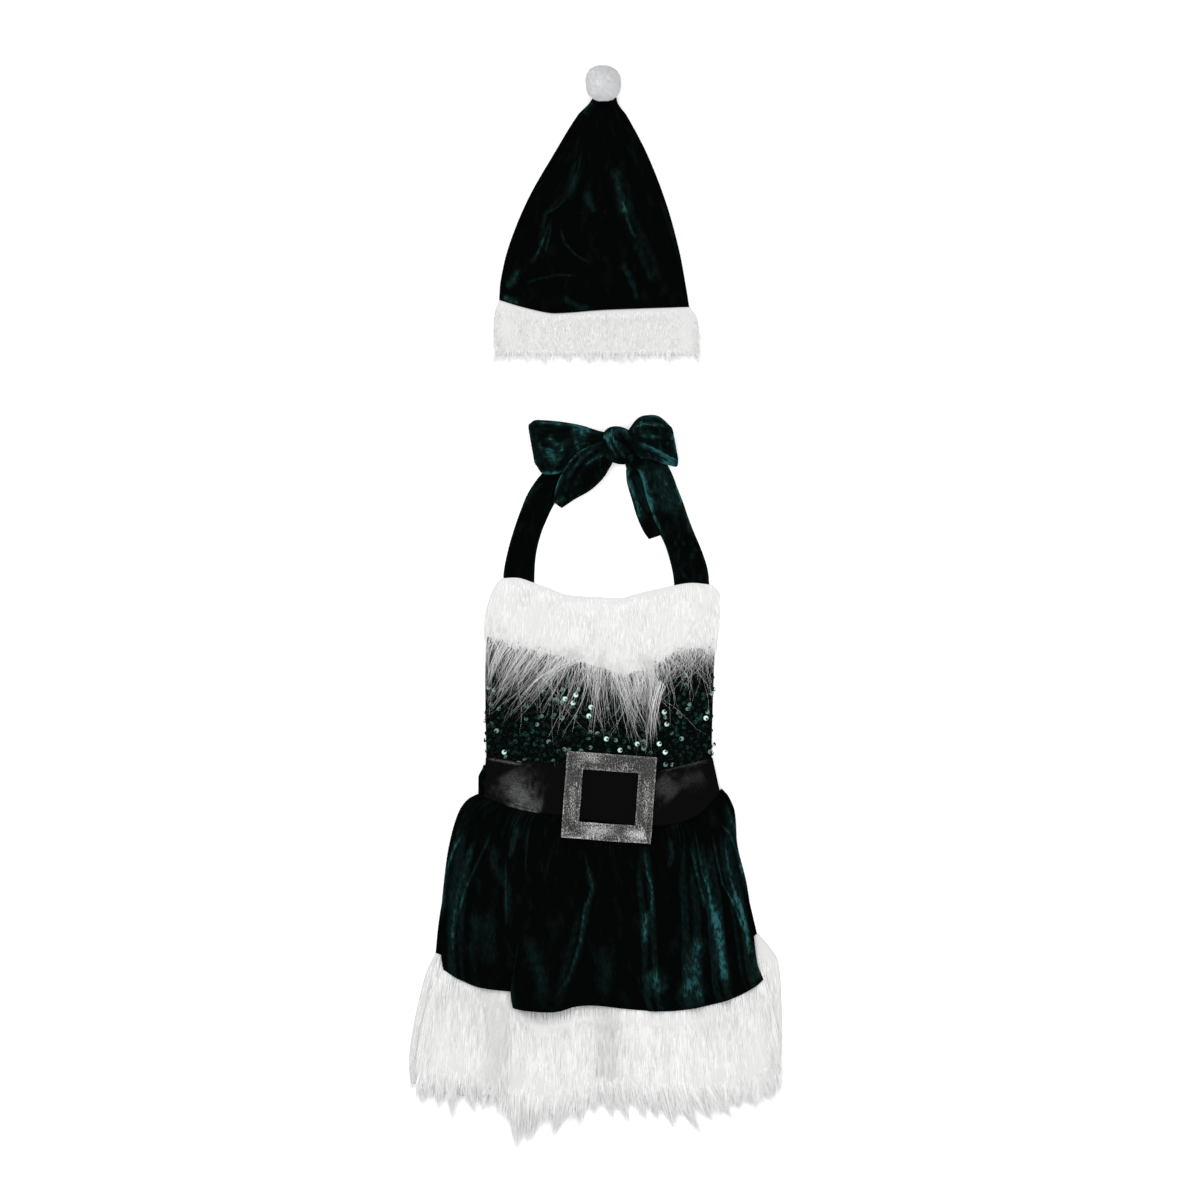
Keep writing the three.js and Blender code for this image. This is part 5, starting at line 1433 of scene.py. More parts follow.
def buckle():
    """The square buckle: a flat frame with a window, its edges rounded and a little uneven."""
    looks = bpy.context.scene.costume_buckle
    piece = primitive("buckle_frame", bpy.ops.mesh.primitive_cube_add, size=1)
    piece.scale = (looks.wide, looks.tall, looks.thick)
    piece.location = (0, 0, 0.5 * looks.thick)
    bpy.ops.object.transform_apply(location=True, rotation=True, scale=True)
    bpy.ops.object.mode_set(mode="EDIT")
    bpy.ops.mesh.select_mode(type="FACE")
    select_faces(piece.data, lambda face: abs(face.normal.z) > 0.9)
    bpy.ops.mesh.inset(thickness=looks.bar, use_individual=True)
    bpy.ops.mesh.bridge_edge_loops()
    bpy.ops.mesh.select_all(action="SELECT")
    bpy.ops.mesh.normals_make_consistent(inside=False)
    bpy.ops.mesh.bevel(offset=BUCKLE_ROUND * MM, offset_type="OFFSET", segments=2, affect="EDGES")
    bpy.ops.mesh.select_all(action="SELECT")
    bpy.ops.mesh.subdivide(number_cuts=BUCKLE_CUTS)
    bpy.ops.object.mode_set(mode="OBJECT")
    mesh = piece.data
    points = mesh_points(mesh) / MM
    half = np.array([looks.wide, looks.tall]) / (2 * MM)
    inner = half - looks.bar / MM
    beyond = np.abs(points[:, :2]) - half
    within = np.abs(points[:, :2]) - inner
    out = np.minimum(-beyond.max(axis=1), np.abs(within.max(axis=1)))
    x, y, z = points.T
    x += BUCKLE_UNEVEN * ripple(y / 9, x / 30, 3.0)
    y += BUCKLE_UNEVEN * ripple(x / 9, y / 30, 8.0)
    z += np.where(z > 1.5, 0.25 * ripple(x / 11, y / 11, 5.0), 0)
    put_points(mesh, points)
    # Painted highlights: a light line along the buckle's edges and where its foil shines
    keep_value(mesh, "edge", 0.26 * smooth(1.0, 0.1, out) + streaks(x, y, BUCKLE_SHINE))
    level = BELT_MIDDLE_LEVEL + LEATHERETTE + BUCKLE_CLEAR
    lean = Matrix.Rotation(-BELT_LEAN, 4, "X") @ Matrix.Rotation(BUCKLE_TURN, 4, "Z")
    mesh.transform(Matrix.Translation(Vector((BELT_X, BELT_Y, level)) * MM) @ lean)
    mesh.shade_smooth()
    mesh.materials.append(finish_of("silver_foil"))
    bpy.ops.object.shade_smooth_by_angle(angle=math.radians(40))
    stand_for(piece, "buckle")


# The tie of the halter, as ribbons along stations: x, y, wide, up. Where y is None, a strap starts
# at the bodice.
STRAP_LEFT = (
    (-97.5, None, 37, 0), (-97, 141, 37, 0), (-93.6, 165, 34, 0), (-87, 190, 32.5, 0),
    (-80, 209, 33, 0), (-70.5, 230, 34, 0), (-56, 251, 32, 0.1), (-34, 270, 30, 0.3),
    (-6, 285, 26, 2.2), (16, 291, 20, 4.4),
)
STRAP_RIGHT = (
    (110.5, None, 42, 0), (108.5, 141, 42, 0), (103, 161, 40, 1), (96, 180, 38, 2.4),
    (88, 199, 39, 2.4), (81, 218, 40, 2.4), (74.5, 236, 39, 2.4), (69.5, 252, 37, 2.4),
    (62, 268, 34, 2.6), (48, 281, 29, 3.4), (28, 289, 20, 5.5),
)
TAIL_RIGHT = (
    (70.5, 185, 25, 0), (67, 195, 31, 0), (60, 213, 33, 0), (54, 233, 33, 0), (48, 252, 32, 0),
    (45, 269, 29, 0.1), (37, 282, 20, 0.6),
)
TAIL_LEFT = (
    (14, 291, 22, 12.5), (3, 282, 33, 13), (-10.5, 270, 43, 12.4), (-24, 256, 42, 11),
    (-38, 241, 31, 6.4), (-51, 222, 13, 2.8),
)
# Painted teal highlights on each ribbon: wide, bright, path
TIE_STREAKS = {
    "strap_left": ((3, 0.2, ((-96, 215), (-84, 236), (-68, 250))),),
    "strap_right": (
        (5, 0.62, ((50, 272), (50, 254), (58, 232), (66, 208))),
        (1.8, 0.5, ((52, 262), (52, 240), (60, 222), (69, 200), (78, 180))),
        (13, 0.34, ((66, 274), (74, 254), (82, 232), (90, 208))),
        (3, 0.4, ((88, 262), (96, 236), (104, 210), (112, 180))),
    ),
    "bow_tail_right": (
        (3, 0.62, ((35, 280), (33, 256), (40, 236), (46, 218), (52, 200))),
        (7, 0.2, ((44, 262), (52, 236), (60, 210))),
    ),
    "bow_tail_left": (
        (3.4, 0.72, ((2, 301), (-20, 291), (-34, 279), (-46, 264), (-52, 244), (-59, 228))),
        (2.4, 0.42, ((-2, 292), (-20, 280), (-32, 266), (-42, 250))),
        (2.0, 0.36, ((8, 284), (-8, 276), (-20, 268))),
        (4, 0.42, ((-40, 232), (-50, 226), (-56, 222))),
    ),
}
# Creases along the ribbons: wide, high, path
TIE_CREASES = {
    "strap_left": ((5, 0.5, ((-100, 150), (-96, 185), (-86, 220))), (4, 0.4, ((-84, 160), (-76, 205)))),
    "strap_right": (
        (5, 0.9, ((56, 276), (60, 250), (70, 222), (80, 190))),
        (5, 0.7, ((74, 268), (84, 240), (92, 210))),
        (4, 0.4, ((112, 150), (104, 190), (96, 214))),
    ),
    "bow_tail_right": ((5, 0.6, ((46, 268), (50, 240), (60, 208))),),
    "bow_tail_left": (
        (4, 1.3, ((4, 288), (-14, 276), (-30, 258), (-42, 240))),
        (4, 0.9, ((8, 280), (-8, 266), (-22, 250), (-36, 236))),
        (3, 0.7, ((-4, 292), (-24, 280), (-38, 262))),
    ),
}


TIE_MESH, LOOP_MESH = (30, 120), (54, 150)


def ribbon(name, stations, roll=0.0, crushed=0.3):
    """A stretch of the tie. roll lifts its left edge, or where it is negative its right one."""
    first = (stations[0][0], bodice_top(stations[0][0]) + 0.5, *stations[0][2:])
    rows = [first if row[1] is None else row for row in stations]
    path = through([(x, y, up) for x, y, _, up in rows])
    width = curve([(k / (len(rows) - 1), row[2]) for k, row in enumerate(rows)])

    def under(s, t):
        middle = path(t)
        ahead = path(np.minimum(t + 1e-3, 1)) - path(np.maximum(t - 1e-3, 0))
        side = xyz(-ahead[..., 1], ahead[..., 0], 0)
        side /= np.linalg.norm(side, axis=-1, keepdims=True)
        lift = abs(roll) * smooth(0.45, 1, s if roll > 0 else 1 - s) * smooth(0, 0.3, t)
        points = middle + side * ((s - 0.5) * width(t))[..., None]
        waves = ridges(points[..., 0], points[..., 1], TIE_CREASES[name])
        points[..., 2] += lift + waves * inside(s, 0.15) * smooth(0, 0.1, t)
        return points

    def thick(s, t):
        rounded = 0.55 + 0.45 * inside(s, 0.1)
        return TIE * rounded + 0.22 * ripple(7 * s, 26 * t, 2.0) * inside(s, 0.2)

    wall = Wall(under, thick, *TIE_MESH)
    # Painted sheen along the ribbon's streaks and turned edges, and crushed patches
    lean = pile_lean(wall, TIE_STREAKS[name], 0.25, 1.15 * crushed, 5.0)
    piece = velvet_piece(name, name, wall, lean + edge_lean(wall) + 0.1 * crushed)
    long = np.linalg.norm(np.diff(path(np.linspace(0, 1, 200)), axis=0), axis=1).sum() * MM


def ties():
    """The two straps and the two tails of the bow."""
    ribbon("strap_left", STRAP_LEFT, crushed=0.05)
    ribbon("strap_right", STRAP_RIGHT, crushed=0.22)
    ribbon("bow_tail_right", TAIL_RIGHT, crushed=0.12)
    ribbon("bow_tail_left", TAIL_LEFT, roll=-4.0, crushed=0.2)


# A loop of the bow, from the knot along the lower layer, round the end and back: out, up
LOOP_SECTION = (
    (0, -0.25), (0.28, -0.6), (0.58, -1), (0.84, -0.98), (0.97, -0.6), (1, 0),
    (0.97, 0.6), (0.84, 0.98), (0.58, 1), (0.28, 0.6), (0, 0.25),
)
# Each loop's places and heights, its long edges (out, top, bottom), and its creases and the streaks of
# its painted teal highlights
LOOPS = {
    "bow_loop_left": {
        "knot_x": 14, "end_top": -84.5, "end_bottom": -76, "middle": 10.8, "puff": 5.4,
        "slack": 0, "dip": 2.2,
        "edges": (
            (0, 307, 297), (0.2, 312, 293), (0.34, 316.5, 286), (0.45, 319, 279), (0.65, 322, 262),
            (0.85, 323.5, 258.5), (0.94, 323.2, 261), (1, 318.5, 270),
        ),
        "creases": (
            (6, 1.5, ((0, 306), (-24, 310), (-52, 316))),
            (7, 1.4, ((-26, 312), (-26, 298), (-22, 288))),
            (8, 1.3, ((-50, 300), (-44, 286), (-30, 280))),
            (7, 1.0, ((-74, 312), (-70, 292), (-66, 272))),
            (6, 1.0, ((2, 300), (-16, 298), (-36, 302))),
            (5, 0.9, ((-60, 284), (-48, 276), (-38, 268))),
        ),
        "streaks": (
            (1.1, 0.5, ((-72, 259.5), (-60, 258), (-46, 260))),
            (8, 0.46, ((-66, 290), (-56, 280), (-46, 272))),
            (2.4, 0.4, ((-68, 300), (-58, 300), (-48, 292), (-42, 284))),
            (7, 0.44, ((-36, 312), (-24, 310), (-12, 308))),
            (2.4, 0.45, ((-29, 306), (-29, 294), (-22, 284))),
            (2.0, 0.4, ((-82, 322), (-60, 320), (-30, 317), (-8, 311))),
            (2.4, 0.3, ((-76, 262), (-62, 260), (-48, 262))),
        ),
    },
    "bow_loop_right": {
        "knot_x": 32, "end_top": 84.5, "end_bottom": 92.5, "middle": 14, "puff": 6,
        "slack": 21, "dip": 0,
        "edges": (
            (0, 309, 299), (0.25, 325.5, 295), (0.5, 329.5, 289.5), (0.75, 327.5, 281), (1, 315, 273),
        ),
        "creases": (
            (6, 1.5, ((36, 308), (52, 318), (74, 320), (88, 314))),
            (6, 1.3, ((38, 304), (54, 302), (72, 300))),
            (6, 1.2, ((40, 298), (56, 292), (76, 282), (90, 276))),
            (5, 1.0, ((38, 312), (50, 324), (66, 328))),
            (5, 0.9, ((66, 312), (78, 306), (88, 296))),
        ),
        "streaks": (
            (2.2, 0.55, ((38, 314), (50, 319), (66, 318), (84, 316))),
            (2.4, 0.72, ((42, 296), (60, 290), (76, 281), (92, 275))),
            (4.5, 0.85, ((70, 272), (80, 272), (92, 273))),
            (2.4, 0.4, ((46, 306), (60, 304), (76, 302))),
            (3, 0.3, ((50, 326), (66, 328), (82, 322))),
            (3, 0.4, ((88, 310), (91, 292), (94, 280))),
        ),
    },
}


def bow_loop(name):
    """A loop of the bow, puffed out and pleated into the knot."""
    side = LOOPS[name]
    path = through([(out, 0, up) for out, up in LOOP_SECTION])
    top, bottom = curve(side["edges"], 1), curve(side["edges"], 2)
    leftward = side["end_top"] < side["knot_x"]

    def under(s, t):
        share = s if leftward else 1 - s
        at = path(t)
        out, up = at[..., 0], at[..., 2]
        below = np.clip(-1.6 * up, 0, 1) * smooth(0, 0.2, out)
        slack = side["slack"] * below * (1 - 0.7 * out) * (1 - share)
        pleat = 1 + 0.3 * np.cos(4 * np.pi * s) * (1 - out)
        lower = (1 - smooth(0, 0.45, share)) if side["dip"] else 0
        x = mix(side["knot_x"], mix(side["end_bottom"], side["end_top"], share), out)
        y = mix(bottom(out), top(out), share) - slack
        puff = side["puff"] * pleat * (1 - 0.6 * lower)
        fine = ridges(x, y, side["creases"]) * inside(s, 0.1) * smooth(0, 0.3, up)
        return xyz(x, y, side["middle"] - side["dip"] * lower + puff * up + fine)

    def thick(s, t):
        rounded = 0.6 + 0.4 * inside(s, 0.08)
        return TIE * rounded + 0.3 * ripple(6 * s, 30 * t, 4.0) * inside(s, 0.15)

    wall = Wall(under, thick, *LOOP_MESH)
    # Painted sheen along the loop's streaks and turned edges, and crushed patches
    lean = pile_lean(wall, side["streaks"], 0.22, 0.5, 4.5)
    piece = velvet_piece(name, name, wall, lean + edge_lean(wall) + 0.07)


# The knot of the bow: the tie is wrapped once round, on a slant
KNOT_X, KNOT_Y, KNOT_Z = 22.8, 293.4, 11
KNOT_HALF = (22, 24.5, 11.5)
KNOT_TURN = 0.6
KNOT_GROOVES = 5
# Painted teal highlights on the knot: wide, bright, path
KNOT_STREAKS = (
    (7, 0.55, ((4, 300), (12, 308), (24, 312))),
    (2.0, 0.65, ((2, 308), (8, 300), (14, 290), (22, 276))),
    (1.8, 0.45, ((8, 312), (16, 300), (24, 286), (32, 276))),
    (4, 0.35, ((20, 314), (30, 310), (38, 304))),
    (3, 0.4, ((34, 282), (38, 276), (40, 270))),
)


def bow_knot():
    """The knot, with the slanting folds of its wrap."""
    add = bpy.ops.mesh.primitive_uv_sphere_add
    piece = primitive("bow_knot_velvet", add, segments=96, ring_count=60, radius=1)
    mesh = piece.data
    x, y, z = mesh_points(mesh).astype(float).T
    # The poles lie along the wrap's axis
    y, z = z, -y
    round_knot = np.arctan2(x, z)
    wave = np.cos(KNOT_GROOVES * round_knot + 2.5 * y)
    fine = 0.02 * np.cos(13 * round_knot + 6 * y + 1.5) + 0.02 * ripple(3 * round_knot, 5 * y, 2.0)
    groove = 1 + (0.05 * wave + fine) * (1 - y * y)
    px = x * KNOT_HALF[0] * groove * (1 - 0.15 * y * y)
    py = y * KNOT_HALF[1]
    pz = z * KNOT_HALF[2] * groove
    c, s = math.cos(KNOT_TURN), math.sin(KNOT_TURN)
    # Painted sheen on the knot's steep sides and on the ridges of its wrap
    lean = 0.25 * smooth(0.3, 0.9, np.abs(x)) + 0.3 * smooth(0.2, 1, wave) * (1 - np.abs(y))
    x, y, z = px * c - py * s + KNOT_X, px * s + py * c + KNOT_Y, np.maximum(pz + KNOT_Z, 0)
    put_points(mesh, xyz(x, y, z))
    lean = lean * (0.6 + 0.4 * ripple(x / 3, y / 3, 4.0))
    keep_value(mesh, "nap", lean + streaks(x, y, KNOT_STREAKS))
    mesh.uv_layers.active.name = "cloth"
    corner = np.empty(len(mesh.loops), np.int32)
    mesh.loops.foreach_get("vertex_index", corner)
    around = np.stack([x, y + 0.6 * z], axis=-1) * MM
    mesh.uv_layers["cloth"].data.foreach_set("uv", around[corner].astype(np.float32).ravel())
    mesh.shade_smooth()
    mesh.materials.append(finish_of("crushed_velvet"))
    stand_for(piece, "bow_knot")


# Hat: down, left, right; then x, y of the seam to the band
HAT_SIDES = (
    (0, -8, 19.5), (0.035, -13.8, 22), (0.09, -27, 32.5), (0.27, -54, 56.4),
    (0.5, -86, 79), (0.73, -109, 95), (0.9, -119, 103), (1, -121, 107),
)
HAT_SEAM = ((-121, 468), (-95, 460), (-62, 452.6), (-40, 452.6), (5, 456), (107, 459.6))
HAT_TIP_Y = 711
# How high the front stands over the back, and how far each panel rises to the pompom
HAT_LOFT, HAT_FRONT_RISE, HAT_BACK_RISE = 6, 6, 4.4
HAT_BACK_MESH, HAT_FRONT_MESH = (48, 60), (189, 210)
# Creases of the hat's front: wide, high, path
HAT_CREASES = (
    (9, 2.2, ((-17, 690), (-25, 630), (-38, 592), (-62, 568), (-68, 523), (-76, 490))),
    (13, 3.4, ((20, 622), (31, 571), (44, 543), (58, 512), (68, 494))),
    (10, 1.8, ((-46, 552), (-36, 532), (-16, 515), (0, 506))),
    (10, 1.8, ((26, 517), (30, 496), (42, 470))),
    (4, 1.0, ((-25, 640), (-30, 612), (-40, 590), (-62, 574), (-66, 562))),
    (4, 0.9, ((-60, 560), (-64, 540), (-74, 518), (-82, 506))),
    (5, 0.8, ((-104, 480), (-84, 488), (-60, 498), (-32, 498))),
    (6, 0.9, ((-112, 474), (-98, 490), (-92, 508))),
    (7, 0.9, ((-19, 604), (-12, 580), (-6, 566))),
    (7, 0.8, ((-44, 462), (-36, 476), (-16, 484), (-14, 500))),
    (9, 0.8, ((60, 600), (72, 560), (84, 520), (92, 486))),
    (9, 0.7, ((10, 690), (16, 664), (14, 640))),
)
# Painted teal highlights on the hat: wide, bright, path
HAT_STREAKS = (
    (4.4, 0.34, ((17, 630), (21, 608), (27, 586), (33, 566))),
    (1.9, 0.50, ((26, 588), (32, 566), (38, 550), (44, 540))),
    (4.4, 0.16, ((42, 546), (50, 520), (58, 502), (64, 488))),
    (1.2, 0.34, ((-20, 660), (-25, 630), (-33, 604), (-40, 590), (-52, 578), (-64, 572), (-66, 562))),
    (1.2, 0.34, ((-58, 566), (-66, 545), (-76, 522), (-86, 508))),
    (1.2, 0.32, ((-58, 560), (-62, 540), (-66, 524))),
    (1.3, 0.3, ((-48, 554), (-42, 536), (-30, 522), (-12, 512))),
    (3.6, 0.44, ((-96, 506), (-104, 492), (-112, 480))),
    (4.0, 0.50, ((-118, 474), (-108, 466), (-96, 464))),
    (1.3, 0.2, ((-94, 486), (-74, 493), (-48, 498), (-26, 496))),
    (3.0, 0.22, ((-46, 474), (-38, 466), (-24, 459), (-8, 458))),
    (4.0, 0.30, ((-18, 600), (-12, 584), (-6, 570))),
    (3.4, 0.28, ((26, 516), (32, 500), (42, 480), (44, 466))),
    (3.0, 0.32, ((-20, 688), (-15, 700), (-8, 706))),
    (2.4, 0.14, ((70, 596), (86, 550), (98, 506))),
)
hat_seam = curve(HAT_SEAM)
hat_plan = plan(HAT_SIDES, lambda x: HAT_TIP_Y, hat_seam)


def tip_rise(t):
    """Both panels of the hat rise to the pompom."""
    return 1 - smooth(0.02, 0.16, t)


def hat():
    """The two velvet panels of the hat."""

    def front(s, t):
        x, y = hat_plan(s, t)
        loft = HAT_LOFT * inside(s, 0.3) * mix(0.35, 1, smooth(0, 0.4, t))
        level = VELVET + GAP + loft + HAT_FRONT_RISE * tip_rise(t)
        creases = ridges(x, y, HAT_CREASES) + 0.3 * (1 + ripple(7 * s + 3 * t, 9 * t, 5.0))
        return xyz(x, y, level + creases * inside(s, 0.1))

    def back(s, t):
        return xyz(*hat_plan(s, t), HAT_BACK_RISE * tip_rise(t))

    wall = Wall(back, lambda s, t: VELVET, *HAT_BACK_MESH)
    # Painted sheen on the back panel, and faint crushed patches
    under = velvet_piece("hat_back", "hat_back", wall, pile_lean(wall, (), 0.3, 0.1))
    wall = Wall(front, lambda s, t: VELVET, *HAT_FRONT_MESH)
    # Painted sheen along the front panel's streaks, and faint crushed patches
    lean = pile_lean(wall, HAT_STREAKS, 0.22, 0.05, 10.0)
    over = velvet_piece("hat_front", "hat_front", wall, lean)


# Hat band: down, left, right
HAT_BAND_SIDES = ((0, -121, 108), (0.2, -126, 116), (0.6, -127.5, 119), (1, -125, 118.5))
# The y of its lower edge, how deep it is at the back and front, and how high the front lies
HAT_BAND_LOW, HAT_BAND_BACK, HAT_BAND_FRONT, HAT_BAND_SPLIT = 402, 5, 10, 5.4
# Its hairs: how wide their locks and the hairs themselves are, and how they curl
BAND_LOCK, BAND_HAIR, BAND_CURL = 5, 0.65, 0.12
HAT_BAND_MESH = 132, 27, 1.0
HAT_BAND_SEED = 55
# How deep the band is, as a share: down, share
HAT_BAND_DEEP = ((0, 0.35), (0.15, 0.75), (0.5, 1), (0.85, 0.8), (1, 0.3))


def band_fleece(front):
    """The fur band of the hat, front or back."""
    share = curve(HAT_BAND_DEEP)
    deep = HAT_BAND_FRONT if front else HAT_BAND_BACK

    def level(s, t):
        return mix(2.6, HAT_BAND_SPLIT, inside(s, 0.1)) if front else 0 * s

    return Fleece(
        HAT_BAND_SIDES,
        lambda x: hat_seam(x) - 2 * GAP,
        lambda x: HAT_BAND_LOW - 1,
        level,
        lambda s, t: mix(np.minimum(2.2, deep * share(t)), deep * share(t), inside(s, 0.1)),
    )


def curly_hairs(fleece, count, dice):
    """Short hairs of the hat's band: they start all over it and fall in loose directions."""
    s = dice.uniform(0.004, 0.996, count)
    t = dice.uniform(0.02, 1.0, count) ** 0.85
    roots = fleece.over(s, t)
    roots[:, 2] = np.maximum(roots[:, 2] - 0.8 * smooth(0, 0.3, t), 0.8)
    x, y = roots[:, 0], roots[:, 1]
    waves = ripple(x / 9, y / 14, 3.0)
    lock = np.floor(x / BAND_LOCK + waves)
    ragged = mix(0.2, 0.6, smooth(0.6, 0.9, t))
    length = mix(12.0, 21.0, t**4) * (1.1 - ragged * chance(lock)) * dice.uniform(0.7, 1.05, count)
    slant = 0.3 * (chance(lock + 31) - 0.5) + dice.normal(0, 0.07, count)
    outward = 0.45 * smooth(0.86, 1, s) - 0.3 * smooth(0.14, 0, s)
    pull = (lock + 0.5 - waves) * BAND_LOCK - x
    tips = roots.copy()
    tips[:, 0] += length * (slant + outward) + 0.6 * pull * smooth(0.5, 0.9, t)
    tips[:, 1] -= length * 0.9
    stand = dice.uniform(-0.1, 0.7, count)
    tips[:, 2] = np.maximum(fleece.height(tips[:, 0], tips[:, 1]) + stand, 0.6)
    bows = dice.normal(0, 0.03, (count, 3)) * length[:, None]
    bows[:, 2] = dice.uniform(0.5, 1.2, count)
    shade = 0.1 + 0.05 * (chance(lock + 9) - 0.5) + dice.normal(0, 0.03, count)
    return roots, tips, bows, np.clip(shade, 0, 1)


def hat_band():
    """The fur band round the hat's opening."""
    looks = bpy.context.scene.costume_fur
    dice = np.random.default_rng(HAT_BAND_SEED)
    for side, count in (("back", looks.band_hairs // 4), ("front", looks.band_hairs)):
        fleece = band_fleece(side == "front")
        name = "hat_band_" + side
        piece = fleece_piece(name, name, fleece.wall(*HAT_BAND_MESH), 0.1)
        *where, shade = curly_hairs(fleece, count, dice)
        hairs = hair(*where, BAND_HAIR, HAIR_RINGS, dice, BAND_CURL)
        hairs = hair_piece(name + "_hairs", hairs, shade)


# The pompom's middle, how far it reaches, how lumpy it is, and its pile: long, wide, bent
POMPOM_MIDDLE = 4, 726.5, 20.5
POMPOM_RADIUS, POMPOM_LUMPS = 22, 0.5
PILE_LONG, PILE_WIDE, PILE_BENT = 3.0, 0.9, 0.26
POMPOM_SEED = 89


def pompom():
    """The pompom: a stuffed ball with a short dense pile."""
    looks = bpy.context.scene.costume_fur
    add = bpy.ops.mesh.primitive_ico_sphere_add
    piece = primitive("pompom_ball", add, subdivisions=4, radius=1)
    mesh = piece.data

    def surface(ways, radius):
        x, y, z = ways.T
        lump = POMPOM_LUMPS * np.sin(5 * x + 1) * np.sin(6 * y + 2) * np.sin(5 * z)
        lump = lump - 0.6 * np.cos(4 * np.arctan2(y, x)) * (1 - z * z)
        lump = lump + 0.9 * smooth(0.6, 1.0, 0.75 * y - 0.66 * x)
        points = ways * (radius + lump)[:, None] + POMPOM_MIDDLE
        points[:, 2] = np.maximum(points[:, 2], 0.2)
        return points

    ball = surface(mesh_points(mesh).astype(float), POMPOM_RADIUS - 1.6)
    put_points(mesh, ball)
    keep_value(mesh, "shade", np.full(len(ball), 0.2))
    mesh.shade_smooth()
    mesh.materials.append(finish_of("pompom_pile"))
    dice = np.random.default_rng(POMPOM_SEED)
    ways = dice.normal(size=(looks.pompom_hairs, 3))
    ways /= np.linalg.norm(ways, axis=1, keepdims=True)
    ways = ways[ways[:, 2] > -0.9]
    count = len(ways)
    roots = surface(ways, POMPOM_RADIUS - 2.2)
    bent = ways + dice.normal(0, PILE_BENT, (count, 3))
    bent /= np.linalg.norm(bent, axis=1, keepdims=True)
    tips = roots + bent * (PILE_LONG * dice.uniform(0.6, 1.05, count))[:, None]
    tips[:, 2] = np.maximum(tips[:, 2], 0.4)
    bows = dice.normal(0, 0.25, (count, 3))
    shade = np.clip(0.12 + dice.normal(0, 0.1, count), 0, 1)
    hairs = hair(roots, tips, bows, PILE_WIDE, PILE_RINGS, dice)
    pile = hair_piece("pompom_hairs", hairs, shade, finish="pompom_pile", ways=ways + (0, 0, 0.7))
    stand_for(piece, "hat_pompom")


# The camera looks straight down from far off: the width it sees in metres, its y, lens and sensor
FRAME_WIDE = 1.44
CAMERA_Y = 0.108
CAMERA_LENS = 200.0
CAMERA_SENSOR = 36.0
# Where each light is, what it aims at and how large it is
KEY_LIGHT = (-1.1, 0.95, 3.0), (0, 0.1, 0), 2.2
FILL_LIGHT = (1.2, -0.4, 2.9), (0, 0, 0), 2.0
FLOOR_SIZE, FLOOR_LEVEL, FLOOR_GLOW = 12, -0.4 * MM, 0.22


def area_light(name, place, aim, size, power):
    """A soft square light."""
    light = bpy.data.lights.new(name, "AREA")
    light.shape = "SQUARE"
    light.size = size
    light.energy = power
    lamp = bpy.data.objects.new(name, light)
    lamp.location = place
    lamp.rotation_euler = (Vector(aim) - Vector(place)).to_track_quat("-Z", "Y").to_euler()
    bpy.context.scene.collection.objects.link(lamp)


def studio():
    """The white surface, soft light and a camera that looks straight down."""
    looks = bpy.context.scene.costume_stage
    scene = bpy.context.scene
    add = bpy.ops.mesh.primitive_plane_add
    floor = primitive("floor", add, size=FLOOR_SIZE, location=(0, 0, FLOOR_LEVEL))
    bpy.ops.object.transform_apply(location=True, rotation=True, scale=True)
    board = Finish(
        "white_board", roughness=0.95, specular_ior_level=0.1, emission_strength=FLOOR_GLOW
    )
    paper = board.noise(board.place(), 4.0)
    board.set("Base Color", board.ramp(paper, (0.3, (0.93, 0.93, 0.93)), (0.7, (0.94, 0.94, 0.94))))
    floor.data.materials.append(board.material)
    world = bpy.data.worlds.new("studio")
    world.use_nodes = True
    sky = world.node_tree.nodes["Background"].inputs
    sky["Color"].default_value = (1, 1, 1, 1)
    sky["Strength"].default_value = looks.ambient
    scene.world = world
    area_light("key", *KEY_LIGHT, looks.key)
    area_light("fill", *FILL_LIGHT, looks.fill)
    distance = FRAME_WIDE * CAMERA_LENS / CAMERA_SENSOR
    lens = bpy.data.cameras.new("camera")
    lens.lens = CAMERA_LENS
    lens.sensor_width = CAMERA_SENSOR
    lens.clip_end = 40
    camera = bpy.data.objects.new("camera", lens)
    camera.location = (0, CAMERA_Y, distance)
    scene.collection.objects.link(camera)
    scene.camera = camera
    scene.view_settings.view_transform = "Standard"


def colour(name, value, description):
    """A colour that a user can change."""
    return bpy.props.FloatVectorProperty(
        name=name, subtype="COLOR", size=3, min=0, max=1, default=value, description=description
    )


def length(name, value, description):
    """A length in metres that a user can change."""
    return bpy.props.FloatProperty(
        name=name, unit="LENGTH", min=0, default=value, precision=4, description=description
    )


def number(name, value, description):
    """A number of like things that a user can change."""
    return bpy.props.IntProperty(name=name, min=0, default=value, description=description)


def strength(name, value, description):
    """The strength of a light, which a user can change."""
    return bpy.props.FloatProperty(name=name, min=0, default=value, description=description)


class CostumeVelvet(bpy.types.PropertyGroup):
    """Colours of the velvet: teal and bright are its painted sheen."""

    dark: colour("Dark", (0.0011, 0.0014, 0.0013), "Where the pile stands up")
    teal: colour("Teal", (0.0040, 0.0118, 0.0112), "Where the pile leans a little")
    bright: colour("Bright", (0.018, 0.086, 0.090), "Where the pile leans into the light")
    sheen: colour("Sheen", (0.03, 0.20, 0.21), "Tint of the sheen at the edges")


class CostumeSequins(bpy.types.PropertyGroup):
    """Sizes and colours of the sequins: green and bright are painted glints."""

    diameter: length("Diameter", 0.0064, "Across one sequin")
    pitch: length("Pitch", 0.0068, "From one sequin to the next")
    dark: colour("Dark", (0.0008, 0.0030, 0.0024), "Most sequins")
    green: colour("Green", (0.010, 0.043, 0.033), "Sequins that catch some light")
    bright: colour("Bright", (0.6, 0.88, 0.79), "Sequins that face the light")


